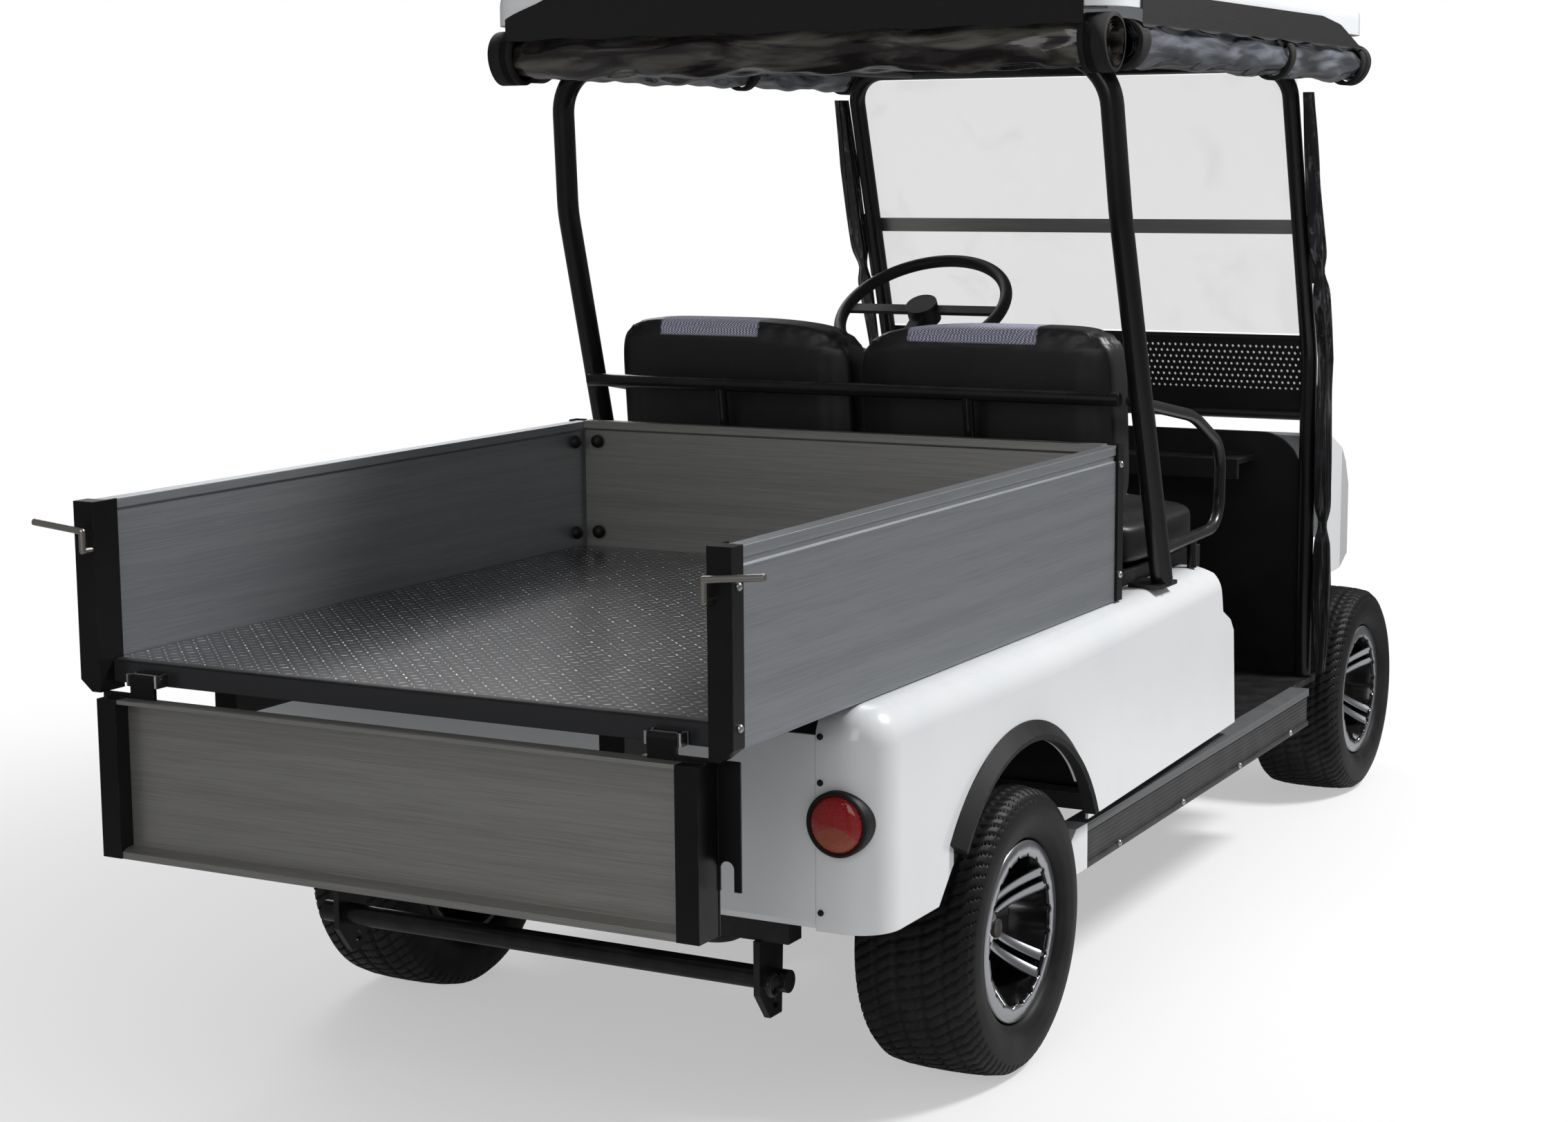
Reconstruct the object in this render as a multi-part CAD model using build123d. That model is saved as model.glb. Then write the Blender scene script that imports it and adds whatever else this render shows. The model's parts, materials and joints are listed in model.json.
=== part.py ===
"""Electric utility cart with an open aluminium cargo box, built as separate pieces.

Millimetres, +Y forward, +X right, +Z up.  Every place along the cart is measured from the
rear axle; write() moves each piece so that the origin is on the ground under the middle.
"""
import math
import os

from build123d import *

# Wheels and axles
TYRE_RADIUS = 229.5
TYRE_WIDTH = 205.0
TREAD_WIDTH = 164.0
BEAD_RADIUS = 127.0
RIM_LIP_RADIUS = 143.0
RIM_WIDTH = 176.0
RIM_WALL = 6.0
SEAT_CLEAR = 0.3
WHEELBASE = 2123.0
REAR_HALF_TRACK = 516.0
FRONT_HALF_TRACK = 432.0
STUB_RADIUS = 15.0
RUNNING_FIT = 0.06
SPOKE_PAIRS = 5

# Chassis
RAIL_X = 160.0
RAIL_WIDTH = 40.0
RAIL_HEIGHT = 60.0
RAIL_TOP_REAR = 352.0
BEARER_HEIGHT = 40.0
RAIL_TOP_FRONT = 306.0
FRAME_REAR_Y = -452.0
FRAME_PAST_AXLE = 257.0
FRAME_FRONT_Y = WHEELBASE + FRAME_PAST_AXLE
AXLE_TUBE_RADIUS = 30.0
KINGPIN_X = 305.0
KINGPIN_RADIUS = 9.0
TOW_HOLE_RADIUS = 9.0

# Cab floor, sills and dash
FLOOR_TOP = 318.0
FLOOR_THICK = 12.0
CAB_REAR_Y = 560.0
DASH_BEHIND_AXLE = 328.0
DASH_Y = WHEELBASE - DASH_BEHIND_AXLE
DASH_TOP = 838.0
DASH_THICK = 8.0
SILL_REAR_Y = 350.0
SILL_BEHIND_DASH = 168.0
SILL_FRONT_Y = DASH_Y - SILL_BEHIND_DASH
SILL_X_REAR = 574.0
SILL_X_FRONT = 556.0
SILL_TOP = 322.0
SILL_BOTTOM = 244.0

# White rear body
BODY_REAR_Y = -490.0
BODY_FRONT_Y = 1131.0
BODY_HALF_REAR = 603.0
BODY_TAPER = 40.0
BODY_HALF_FRONT = BODY_HALF_REAR - BODY_TAPER
BODY_BOTTOM = 345.0
BODY_TOP = 668.0
BODY_WALL = 5.0
BODY_CORNER_WIDTH = 103.0
BODY_INNER_X = BODY_HALF_REAR - BODY_CORNER_WIDTH
CORNER_RADIUS = 62.0
SHOULDER_RADIUS = 52.0
ARCH_RADIUS = 297.0
FLARE_RADIUS = 326.0
FLARE_PROUD = 20.0
LAMP_IN = 65.0
LAMP_X = BODY_HALF_REAR - LAMP_IN
LAMP_Z = 505.0
LAMP_RADIUS = 47.0

# Cargo box
BOX_HALF = 550.0
BOX_REAR_Y = -813.0
BOX_FRONT_Y = 555.0
BOX_FLOOR_TOP = 700.0
BOX_TOP = 938.0
WALL_THICK = 27.0
WALL_BOTTOM = 670.0
FLOOR_DEPTH = 32.0
FLOOR_REAR_Y = -783.0
POST_WIDTH = 37.0
POST_DEPTH = 31.0
POST_LAP = 52.0

# Tailgate
HINGE_Y = -798.0
HINGE_Z = 678.0
GATE_GAP = 27.0
GATE_HEIGHT = 237.0
GATE_HALF = 507.0
GATE_FACE_Y = -830.0
CHANNEL_FACE = 35.0
CHANNEL_DEPTH = 55.0
FLANGE_OUT = 34.0
FLANGE_THICK = 3.0
HINGE_PIN_RADIUS = 5.0
HINGE_X = 440.0
SLOT_X = 520.0
SLOT_HALF = 10.5
ROD_RADIUS = 5.0

# Roof and its frame
ROOF_HALF = 606.0
ROOF_REAR_Y = 335.0
ROOF_BEHIND_DASH = 5.0
ROOF_FRONT_Y = DASH_Y - ROOF_BEHIND_DASH
ROOF_TOP = 1752.0
RIM_DEPTH = 88.0
ROOF_RIM_Z = ROOF_TOP - RIM_DEPTH
ROOF_WALL = 8.0
HOOP_RADIUS = 20.0
HOOP_DROP = 154.0
HOOP_TOP_Z = ROOF_TOP - HOOP_DROP
HOOP_KNEE_DROP = 268.0
HOOP_TOP_X = 538.0
HOOP_TOP_Y = 497.0
RAIL_ROOF_X = 350.0
HOOP_FOOT_X = 560.0
HOOP_FOOT = (HOOP_FOOT_X, 728.0, BODY_TOP + 6)
HOOP_KNEE = (HOOP_TOP_X + 12, HOOP_TOP_Y + 33, HOOP_TOP_Z - HOOP_KNEE_DROP)
PILLAR_RADIUS = 17.0
PILLAR_X = 492.0
SCREEN_RAKE = 0.30
SCREEN_BAR_Z = 1276.0
SCREEN_BAR_BEHIND_DASH = 73.0
SCREEN_BAR_Y = DASH_Y - SCREEN_BAR_BEHIND_DASH
GLASS_THICK = 5.0
GLASS_BOTTOM = 1050.0
GLASS_DROP = 162.0
GLASS_TOP = ROOF_TOP - GLASS_DROP
ROLL_RADIUS = 50.0
ROLL_IN = 31.0
ROLL_X = ROOF_HALF - ROLL_IN
SIDE_ROLL_RADIUS = 44.0
ROLL_DROP = 144.0
ROLL_Z = ROOF_TOP - ROLL_DROP
ROLL_IN_REAR = 53.0
ROLL_REAR_Y = ROOF_REAR_Y + ROLL_IN_REAR
FURL_DROP = 202.0

# Seats
SEAT_HALF = 500.0
CUSHION_TOP = 790.0
CUSHION_THICK = 100.0
CUSHION_REAR_Y = 690.0
CUSHION_FRONT_Y = 1120.0
BACK_TOP = 1130.0
BACK_BOTTOM = 790.3
BACK_REAR_Y = 608.0
BACK_THICK = 105.0
BACK_LEAN = 40.0
SEAT_BAR_Z = 1012.0
SEAT_BAR_Y = 572.0

# Steering
STEER_X = -262.0
STEER_BEHIND_DASH = 325.0
STEER_Y = DASH_Y - STEER_BEHIND_DASH
STEER_Z = 1104.0
STEER_RADIUS = 182.0
STEER_GRIP = 13.0
STEER_TILT = 32.0
SHAFT_RADIUS = 10.0

# Front cowl
COWL_PAST_AXLE = 317.0
COWL_FRONT_Y = WHEELBASE + COWL_PAST_AXLE
COWL_HALF_REAR = 520.0
COWL_HALF_FRONT = 330.0
COWL_WALL = 6.0
COWL_LIP_Z = 528.0
BUMPER_PAST_COWL = 60.0
BUMPER_FRONT_Y = COWL_FRONT_Y + BUMPER_PAST_COWL

MIDDLE_Y = (GATE_FACE_Y + BUMPER_FRONT_Y) / 2
SIDES = ((-1, "left"), (1, "right"))


def write(name, shape):
    """Write one node, moved so that the origin is under the middle of the cart."""
    shape = Pos(0, -MIDDLE_Y, 0) * shape
    export_step(shape, f"parts/{name}.step")
    size = shape.bounding_box()
    print(f"{name}: {len(shape.solids())} solids, {size.size.X:.0f} x {size.size.Y:.0f} x {size.size.Z:.0f}")


def span(x0, x1, y0, y1, z0, z1):
    """Box from its low to its high corner."""
    return Pos((x0 + x1) / 2, (y0 + y1) / 2, (z0 + z1) / 2) * Box(x1 - x0, y1 - y0, z1 - z0)


def rod(start, end, radius):
    """Straight round bar between two points."""
    axis = Vector(*end) - Vector(*start)
    plane = Plane(origin=start, z_dir=axis)
    return extrude(plane * Circle(radius), axis.length)


def pipe(points, radii, radius):
    """Bent round tube along straight runs joined by tangent arcs."""
    path = FilletPolyline(*points, radius=radii)
    start = Plane(origin=path @ 0, z_dir=path % 0)
    return sweep(start * Circle(radius), path=path)


def side_plate(points, x0, x1):
    """Plate with a side outline given as (y, z) points, between two x places."""
    outline = Plane.YZ.offset(x0) * make_face(Polyline(*points, close=True))
    return extrude(outline, x1 - x0)


def tidy(shape):
    """Merge coplanar faces and keep all solids in one compound."""
    solids = shape.solids()
    return solids[0] if len(solids) == 1 else Compound(children=list(solids))


def group(solids):
    """Several solids that share one node."""
    found = [piece for shape in solids for piece in shape.solids()]
    return Compound(children=found)


# Tyres and rims

def tyre(x, y):
    """Low wide tyre, carcass only: the tread pattern is a surface finish."""
    half_tread, half_width = TREAD_WIDTH / 2, TYRE_WIDTH / 2
    bead_half = RIM_WIDTH / 2 - RIM_WALL - 1
    inner = BEAD_RADIUS + SEAT_CLEAR
    crown = Line((0, TYRE_RADIUS), (half_tread - 16, TYRE_RADIUS - 2))
    shoulder = TangentArc(crown @ 1, (half_tread + 10, TYRE_RADIUS - 20), tangent=crown % 1)
    bulge_mid = (half_width, (TYRE_RADIUS + inner) / 2 + 6)
    bulge = ThreePointArc(shoulder @ 1, bulge_mid, (bead_half, RIM_LIP_RADIUS + 1))
    bead = Polyline(bulge @ 1, (bead_half, inner), (0, inner))
    half = make_face([crown, shoulder, bulge, bead, Line((0, inner), (0, TYRE_RADIUS))])
    section = half + mirror(half, Plane.YZ)
    ring = revolve(section, Axis.X, 360)
    return Pos(x, y, TYRE_RADIUS) * ring


def rim(x, y, side):
    """Cast alloy rim: barrel with two lips, dished back, hub and five pairs of spokes."""
    half = RIM_WIDTH / 2
    inner = BEAD_RADIUS - RIM_WALL
    barrel = Polyline(
        (-half, inner), (-half, RIM_LIP_RADIUS), (-half + RIM_WALL, RIM_LIP_RADIUS),
        (-half + RIM_WALL, BEAD_RADIUS), (half - RIM_WALL, BEAD_RADIUS),
        (half - RIM_WALL, RIM_LIP_RADIUS), (half, RIM_LIP_RADIUS), (half, inner), close=True)
    body = revolve(make_face(barrel), Axis.X, 360)
    dish = Polyline(
        (18, 0), (18, 62), (34, inner + 1), (42, inner + 1), (28, 62), (60, 40), (66, 34), (66, 0),
        close=True)
    body += revolve(make_face(dish), Axis.X, 360)
    spoke_back, spoke_face, spoke_lip, tip = 30.0, 66.0, half - 4, inner + 2
    for pair in range(SPOKE_PAIRS):
        turn = 360 * pair / SPOKE_PAIRS + 90
        for sign in (-1, 1):
            plan = Polyline((30, sign * 4), (30, sign * 20), (tip, sign * 34), (tip, sign * 9), close=True)
            side_cut = Polyline(
                (spoke_back, 26), (spoke_face, 26), (spoke_lip, tip), (spoke_back + 8, tip), close=True)
            arm = extrude(Plane.YZ * make_face(plan), spoke_lip)
            arm &= extrude(Plane.XY.offset(-60) * make_face(side_cut), 120)
            arm &= Rot(0, 90, 0) * Cylinder(inner + 1, 4 * half)
            body += Rot(turn, 0, 0) * arm
    bore = STUB_RADIUS + RUNNING_FIT
    body -= Rot(0, 90, 0) * Pos(0, 0, 26) * Cylinder(bore, 60)
    body = tidy(body)
    if side < 0:
        body = Rot(0, 0, 180) * body
    return Pos(x, y, TYRE_RADIUS) * body


def wheels():
    """Four tyres and four rims, on their own bodies."""
    table = (("rear", 0.0, REAR_HALF_TRACK), ("front", WHEELBASE, FRONT_HALF_TRACK))
    for end, y, half_track in table:
        for side, name in SIDES:
            write(f"tyre_{end}_{name}", tyre(side * half_track, y))
            write(f"rim_{end}_{name}", rim(side * half_track, y, side))


# Chassis and running gear

def chassis_frame():
    """Ladder frame: two rails that step up over the rear axle, and cross members with outriggers."""
    rear_low, front_low = RAIL_TOP_REAR - RAIL_HEIGHT, RAIL_TOP_FRONT - RAIL_HEIGHT
    step0, step1 = 330.0, 480.0
    outline = (
        (FRAME_REAR_Y, rear_low), (step0, rear_low), (step1, front_low), (FRAME_FRONT_Y, front_low),
        (FRAME_FRONT_Y, RAIL_TOP_FRONT), (step1, RAIL_TOP_FRONT), (step0, RAIL_TOP_REAR),
        (FRAME_REAR_Y, RAIL_TOP_REAR))
    half, box_reach, cab_reach = RAIL_WIDTH / 2, 430.0, SILL_X_FRONT - 40
    frame = side_plate(outline, RAIL_X - half, RAIL_X + half)
    frame += side_plate(outline, -RAIL_X - half, -RAIL_X + half)
    table = (
        (FRAME_REAR_Y + 30, box_reach, RAIL_TOP_REAR), (250.0, box_reach, RAIL_TOP_REAR),
        (700.0, cab_reach, RAIL_TOP_FRONT), (1150.0, cab_reach, RAIL_TOP_FRONT),
        (SILL_FRONT_Y - 67, cab_reach, RAIL_TOP_FRONT), (FRAME_FRONT_Y - 25, RAIL_X, RAIL_TOP_FRONT))
    for y, reach, top in table:
        frame += span(-reach, reach, y - 20, y + 20, top - RAIL_HEIGHT + 10, top)
    return tidy(frame)


def box_bearers():
    """Subframe under the cargo box: two bearers on four posts, joined by two cross bars."""
    bearer_x, top = 330.0, BOX_FLOOR_TOP - FLOOR_DEPTH
    low = top - BEARER_HEIGHT
    frame = None
    for side in (-1, 1):
        x0, x1 = side * bearer_x - 20, side * bearer_x + 20
        bearer = span(x0, x1, BOX_REAR_Y + 60, BOX_FRONT_Y - 40, low, top)
        frame = bearer if frame is None else frame + bearer
        for y in (FRAME_REAR_Y + 30, 250.0):
            frame += span(x0, x1, y - 20, y + 20, RAIL_TOP_REAR, top - 20)
    for y in (FRAME_REAR_Y + 30, 250.0):
        frame += span(-bearer_x, bearer_x, y - 20, y + 20, low, top - 10)
    return tidy(frame)


def rear_crossbar():
    """Round tow bar low behind the axle, on two drop brackets with a rope eye."""
    y, z, reach, radius = -420.0, 240.0, 420.0, 17.0
    bar = rod((-reach, y, z), (reach, y, z), radius)
    for side in (-1, 1):
        x0 = side * 380.0 - 5
        points = ((y - 28, z - 20), (y + 4, z - 62), (y + 40, z - 62), (y + 46, RAIL_TOP_REAR - 50),
                  (y - 28, RAIL_TOP_REAR - 50))
        bar += side_plate(points, x0, x0 + 10)
        bar -= rod((x0 - 5, y + 22, z - 42), (x0 + 15, y + 22, z - 42), TOW_HOLE_RADIUS)
    eye = Pos(reach - 14, y - radius - 8, z) * Rot(0, 90, 0) * Torus(15, 4)
    return tidy(bar + eye)


def rear_axle():
    """Solid axle: tube, differential housing, brake drums and the two stub shafts."""
    drum_inner, drum_outer = REAR_HALF_TRACK - 84, REAR_HALF_TRACK - 20
    stub_end = REAR_HALF_TRACK + 50
    axle = rod((-drum_inner, 0, TYRE_RADIUS), (drum_inner, 0, TYRE_RADIUS), AXLE_TUBE_RADIUS)
    case = Pos(60, 0, TYRE_RADIUS) * Sphere(88)
    axle += case & span(-40, 160, -84, 84, TYRE_RADIUS - 80, TYRE_RADIUS + 58)
    for side in (-1, 1):
        axle += rod((side * drum_inner, 0, TYRE_RADIUS), (side * drum_outer, 0, TYRE_RADIUS), 92)
        axle += rod((side * drum_outer, 0, TYRE_RADIUS), (side * stub_end, 0, TYRE_RADIUS), STUB_RADIUS)
    return tidy(axle)


def drive_motor():
    """Round traction motor bolted to the front of the differential housing."""
    body = rod((60, 84, TYRE_RADIUS), (60, 300, TYRE_RADIUS), 56)
    body += rod((60, 300, TYRE_RADIUS), (60, 318, TYRE_RADIUS), 44)
    return tidy(body)


def leaf_spring(x, y, eye_z, seat_z, half_length, leaves):
    """Leaf pack: an arched main leaf with two eyes and shorter leaves under it."""
    width, thick = 44.0, 7.0
    sag = eye_z - seat_z
    top = ThreePointArc((y - half_length, eye_z), (y, seat_z), (y + half_length, eye_z))
    low = ThreePointArc((y - half_length, eye_z - thick), (y, seat_z - thick), (y + half_length, eye_z - thick))
    outline = make_face([top, low, Line(top @ 0, low @ 0), Line(top @ 1, low @ 1)])
    pack = extrude(Plane.YZ.offset(x - width / 2) * outline, width)
    for step in range(1, leaves):
        reach = half_length * (1 - 0.26 * step)
        rise = sag * (reach / half_length) ** 2
        high = seat_z - thick * step
        points = [(y - reach, high + rise), (y, high), (y + reach, high + rise)]
        below = [(a, b - thick) for a, b in points]
        arc_top, arc_low = ThreePointArc(*points), ThreePointArc(*below)
        face = make_face([arc_top, arc_low, Line(arc_top @ 0, arc_low @ 0), Line(arc_top @ 1, arc_low @ 1)])
        pack += extrude(Plane.YZ.offset(x - width / 2) * face, width)
    for sign in (-1, 1):
        eye_y = y + sign * half_length
        pack += rod((x - width / 2, eye_y, eye_z), (x + width / 2, eye_y, eye_z), 14)
    return pack


def rear_spring(side):
    """Leaf spring over the axle tube, with its clamp block and its two eye bolts."""
    seat_z = TYRE_RADIUS + AXLE_TUBE_RADIUS + 22
    arch, half_length, x = 18.0, 300.0, side * 300.0
    pack = leaf_spring(x, 0, seat_z + arch, seat_z, half_length, 3)
    pack += span(x - 30, x + 30, -34, 34, TYRE_RADIUS + AXLE_TUBE_RADIUS - 6, seat_z - 20)
    pack -= rod((x - 40, 0, TYRE_RADIUS), (x + 40, 0, TYRE_RADIUS), AXLE_TUBE_RADIUS)
    inner = side * (RAIL_X + RAIL_WIDTH / 2)
    for eye_y in (-half_length, half_length):
        pack += rod((inner, eye_y, seat_z + arch), (x + side * 30, eye_y, seat_z + arch), 8)
    return tidy(pack)


def front_axle():
    """Forged front beam with forked ends and kingpins, hung on two leaf springs."""
    z = TYRE_RADIUS
    fork_in = KINGPIN_X - 26
    beam = span(-fork_in, fork_in, WHEELBASE - 22, WHEELBASE + 22, z - 22, z + 10)
    rail_low = RAIL_TOP_FRONT - RAIL_HEIGHT
    for side in (-1, 1):
        lo, hi = sorted((side * fork_in, side * (KINGPIN_X + 18)))
        arm_lo, arm_hi = sorted((side * (fork_in - 16), side * fork_in))
        beam += span(arm_lo, arm_hi, WHEELBASE - 22, WHEELBASE + 22, z - 52, z + 52)
        for low in (z - 52, z + 40):
            beam += span(lo, hi, WHEELBASE - 18, WHEELBASE + 18, low, low + 12)
        pin_x = side * KINGPIN_X
        beam += rod((pin_x, WHEELBASE, z - 58), (pin_x, WHEELBASE, z + 58), KINGPIN_RADIUS)
        lo, hi = side * RAIL_X - 20, side * RAIL_X + 20
        beam += span(lo, hi, WHEELBASE - 60, WHEELBASE + 60, z + 10, rail_low)
    return tidy(beam)


def knuckle(side):
    """Steering knuckle: barrel on the kingpin, stub shaft and steering arm."""
    z = TYRE_RADIUS
    pin_x = side * KINGPIN_X
    drum_in, drum_out = side * (FRONT_HALF_TRACK - 66), side * (FRONT_HALF_TRACK - 16)
    body = rod((pin_x, WHEELBASE, z - 39), (pin_x, WHEELBASE, z + 39), 19)
    body += rod((pin_x, WHEELBASE, z), (drum_in, WHEELBASE, z), 22)
    body += rod((drum_in, WHEELBASE, z), (drum_out, WHEELBASE, z), 90)
    body += rod((drum_out, WHEELBASE, z), (side * (FRONT_HALF_TRACK + 50), WHEELBASE, z), STUB_RADIUS)
    body += side_plate(((WHEELBASE + 10, z - 34), (WHEELBASE + 110, z - 34), (WHEELBASE + 110, z - 22),
                        (WHEELBASE + 10, z - 22)), pin_x - 12, pin_x + 12)
    body -= rod((pin_x, WHEELBASE, z - 60), (pin_x, WHEELBASE, z + 60), KINGPIN_RADIUS + RUNNING_FIT)
    return tidy(body)


def running_gear():
    """Frame, axles, springs, motor and battery block."""
    write("chassis_frame", chassis_frame())
    write("box_bearers", box_bearers())
    write("rear_crossbar", rear_crossbar())
    write("rear_axle", rear_axle())
    write("drive_motor", drive_motor())
    write("front_axle", front_axle())
    for side, name in SIDES:
        write(f"rear_spring_{name}", rear_spring(side))
        write(f"knuckle_{name}", knuckle(side))
    write("battery_pack", span(-400, 400, 640, 1060, FLOOR_TOP, 590))


# Cab floor, sills and dash

def floor_pan():
    """Pressed cab floor from the seat to the dash."""
    half = SILL_X_FRONT - 42
    return span(-half, half, CAB_REAR_Y + 40, DASH_Y + DASH_THICK, FLOOR_TOP - FLOOR_THICK, FLOOR_TOP)


def sill(side):
    """Step sill: rubber faced extrusion with an aluminium trim along its top and bottom."""
    depth, trim = 40.0, 9.0
    inner_rear, inner_front = SILL_X_REAR - depth, SILL_X_FRONT - depth
    outline = Polyline(
        (inner_rear, SILL_REAR_Y), (SILL_X_REAR, SILL_REAR_Y), (SILL_X_FRONT, SILL_FRONT_Y),
        (inner_front, SILL_FRONT_Y), close=True)
    body = extrude(Plane.XY.offset(SILL_BOTTOM) * make_face(outline), SILL_TOP - SILL_BOTTOM)
    recess = Polyline(
        (SILL_X_REAR - 4, SILL_REAR_Y - 1), (SILL_X_REAR + 1, SILL_REAR_Y - 1),
        (SILL_X_FRONT + 1, SILL_FRONT_Y + 1), (SILL_X_FRONT - 4, SILL_FRONT_Y + 1), close=True)
    height = SILL_TOP - SILL_BOTTOM - 2 * trim - 6
    body -= extrude(Plane.XY.offset(SILL_BOTTOM + trim) * make_face(recess), height)
    if side < 0:
        body = mirror(body, Plane.YZ)
    return tidy(body)


def dash_panel():
    """Black inner cowl wall: upright panel with rounded top corners and a shelf on top."""
    half, thick = PILLAR_X - PILLAR_RADIUS - SEAT_CLEAR, DASH_THICK
    face = Pos(0, (FLOOR_TOP + DASH_TOP) / 2) * Rectangle(2 * half, DASH_TOP - FLOOR_TOP)
    top = face.vertices().group_by(Axis.Y)[-1]
    face = fillet(top, 90)
    panel = extrude(Plane.XZ.offset(-DASH_Y - thick) * face, thick)
    shelf = span(-half + 100, half - 100, DASH_Y - 120, DASH_Y, DASH_TOP - 60, DASH_TOP - 48)
    shelf += span(-half + 100, half - 100, DASH_Y - 120, DASH_Y - 108, DASH_TOP - 90, DASH_TOP - 60)
    shelf -= span(STEER_X - 34, STEER_X + 34, DASH_Y - 130, DASH_Y + 1, DASH_TOP - 100, DASH_TOP)
    return tidy(panel + shelf)


def pedals():
    """Brake and speed pedals on arms from the dash wall."""
    table = ((STEER_X - 60, 76.0, 92.0), (STEER_X + 110, 60.0, 120.0))
    pieces = []
    for x, width, length in table:
        top = (x, DASH_Y, FLOOR_TOP + 210)
        low = (x, DASH_Y - 95, FLOOR_TOP + 60)
        arm = rod(top, low, 8) - span(x - 20, x + 20, DASH_Y - SEAT_CLEAR, DASH_Y + 20, FLOOR_TOP, DASH_TOP)
        pad = Pos(x, DASH_Y - 100, FLOOR_TOP + 62) * Rot(-42, 0, 0) * Box(width, length, 10)
        pieces.append(arm + pad)
    return group(pieces)


def cab():
    """Floor, sills, dash and pedals."""
    write("floor_pan", floor_pan())
    for side, name in SIDES:
        write(f"sill_{name}", sill(side))
    write("dash_panel", dash_panel())
    write("pedals", pedals())


# White rear body

def body_block(inset):
    """Right half of the rear body as a full block, each outer face moved in by inset."""
    rear, front = BODY_REAR_Y + inset, BODY_FRONT_Y - inset
    wide, narrow = BODY_HALF_REAR - inset, BODY_HALF_FRONT - inset
    radius = CORNER_RADIUS - inset
    taper_y = 200.0
    inner = BODY_INNER_X if inset == 0 else BODY_INNER_X - 30
    arc = CenterArc((wide - radius, rear + radius), radius, -90, 90)
    outline = make_face([
        Line((inner, rear), (wide - radius, rear)), arc,
        Line((wide, rear + radius), (wide, taper_y)), Line((wide, taper_y), (narrow, front)),
        Line((narrow, front), (inner, front)), Line((inner, front), (inner, rear))])
    low = BODY_BOTTOM - (1 if inset else 0)
    block = extrude(Plane.XY.offset(low) * outline, BODY_TOP - inset - low)
    top_edges = block.edges().group_by(Axis.Z)[-1]
    outer = top_edges.filter_by(lambda edge: edge.center().X > inner + 4 and abs(edge.center().Y - front) > 2)
    return fillet(outer, SHOULDER_RADIUS - inset)


def fender(side):
    """Moulded rear side body from the tail corner to the cab, with its wheel arch."""
    shell = body_block(0) - body_block(BODY_WALL)
    arch = rod((BODY_INNER_X - 60, 0, TYRE_RADIUS + 6), (BODY_HALF_REAR + 20, 0, TYRE_RADIUS + 6), ARCH_RADIUS)
    shell -= arch
    shell -= span(BODY_INNER_X - 60, BODY_HALF_REAR + 20, -ARCH_RADIUS + 48, ARCH_RADIUS - 8, 300, 420)
    tail_round = side_plate(((-251, 300), (-251, 396), (-300, 345.0), (-300, 300)), 400, 640)
    shell -= tail_round
    step = Polyline((985, 700), (985, 668), (1020, 650), (1036, 600), (1042, 575), (1092, 552), (1114, 528),
                    (1131, 345), (1131, 300), (1190, 300), (1190, 700), close=True)
    shell -= extrude(Plane.YZ.offset(BODY_INNER_X - 60) * make_face(step), 200)
    shell -= lamp_cup(1, LAMP_RADIUS + SEAT_CLEAR)
    body = sorted(shell.solids(), key=lambda piece: piece.volume)[-1]
    if side < 0:
        body = mirror(body, Plane.YZ)
    return body


def rear_panel():
    """Flat white panel between the two tail corners, with a rolled lower edge."""
    half = BODY_INNER_X - SEAT_CLEAR
    top = BOX_FLOOR_TOP - FLOOR_DEPTH - BEARER_HEIGHT - SEAT_CLEAR
    points = ((BODY_REAR_Y, BODY_BOTTOM + 12), (BODY_REAR_Y + 12, BODY_BOTTOM), (BODY_REAR_Y + 30, BODY_BOTTOM),
              (BODY_REAR_Y + 30, BODY_BOTTOM + 5), (BODY_REAR_Y + 13, BODY_BOTTOM + 5),
              (BODY_REAR_Y + 5, BODY_BOTTOM + 13), (BODY_REAR_Y + 5, top), (BODY_REAR_Y, top))
    panel = side_plate(points, -half, half)
    for side in (-1, 1):
        panel -= lamp_cup(side, LAMP_RADIUS + SEAT_CLEAR)
    return panel


def arch_flare(side):
    """Black rubber flare round the wheel arch: flush at its outer edge, proud at its lip."""
    centre_z = TYRE_RADIUS + 6
    face, proud = BODY_HALF_REAR, BODY_HALF_REAR + FLARE_PROUD
    section = Polyline((face - 40, FLARE_RADIUS), (face + 2, FLARE_RADIUS), (proud, ARCH_RADIUS + 8),
                       (proud - 2, ARCH_RADIUS - 1), (face - 40, ARCH_RADIUS - 1), close=True)
    ring = Pos(0, 0, centre_z) * revolve(make_face(section), Axis.X, 360)
    ring -= body_block(0)
    keep = side_plate(((0, centre_z), (FLARE_RADIUS * 2, centre_z + 300), (0, 900), (-700, 900),
                       (-FLARE_RADIUS * 2, centre_z + 480)), 500, 700)
    flare = sorted((ring & keep).solids(), key=lambda piece: piece.volume)[-1]
    if side < 0:
        flare = mirror(flare, Plane.YZ)
    return flare


def mudguard(side):
    """White splash piece between the rear wheel and the sill."""
    front = SILL_REAR_Y - SEAT_CLEAR
    points = ((272, 250), (284, 244), (front, 244), (front, SILL_TOP), (300, SILL_TOP), (272, 300))
    piece = side_plate(points, SILL_X_REAR - 44, SILL_X_REAR)
    if side < 0:
        piece = mirror(piece, Plane.YZ)
    return piece


def lamp_cup(side, radius):
    """Round bar that stands through the tail corner at the lamp's place."""
    x = side * LAMP_X
    return rod((x, BODY_REAR_Y + 24, LAMP_Z), (x, BODY_REAR_Y - 9, LAMP_Z), radius)


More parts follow.
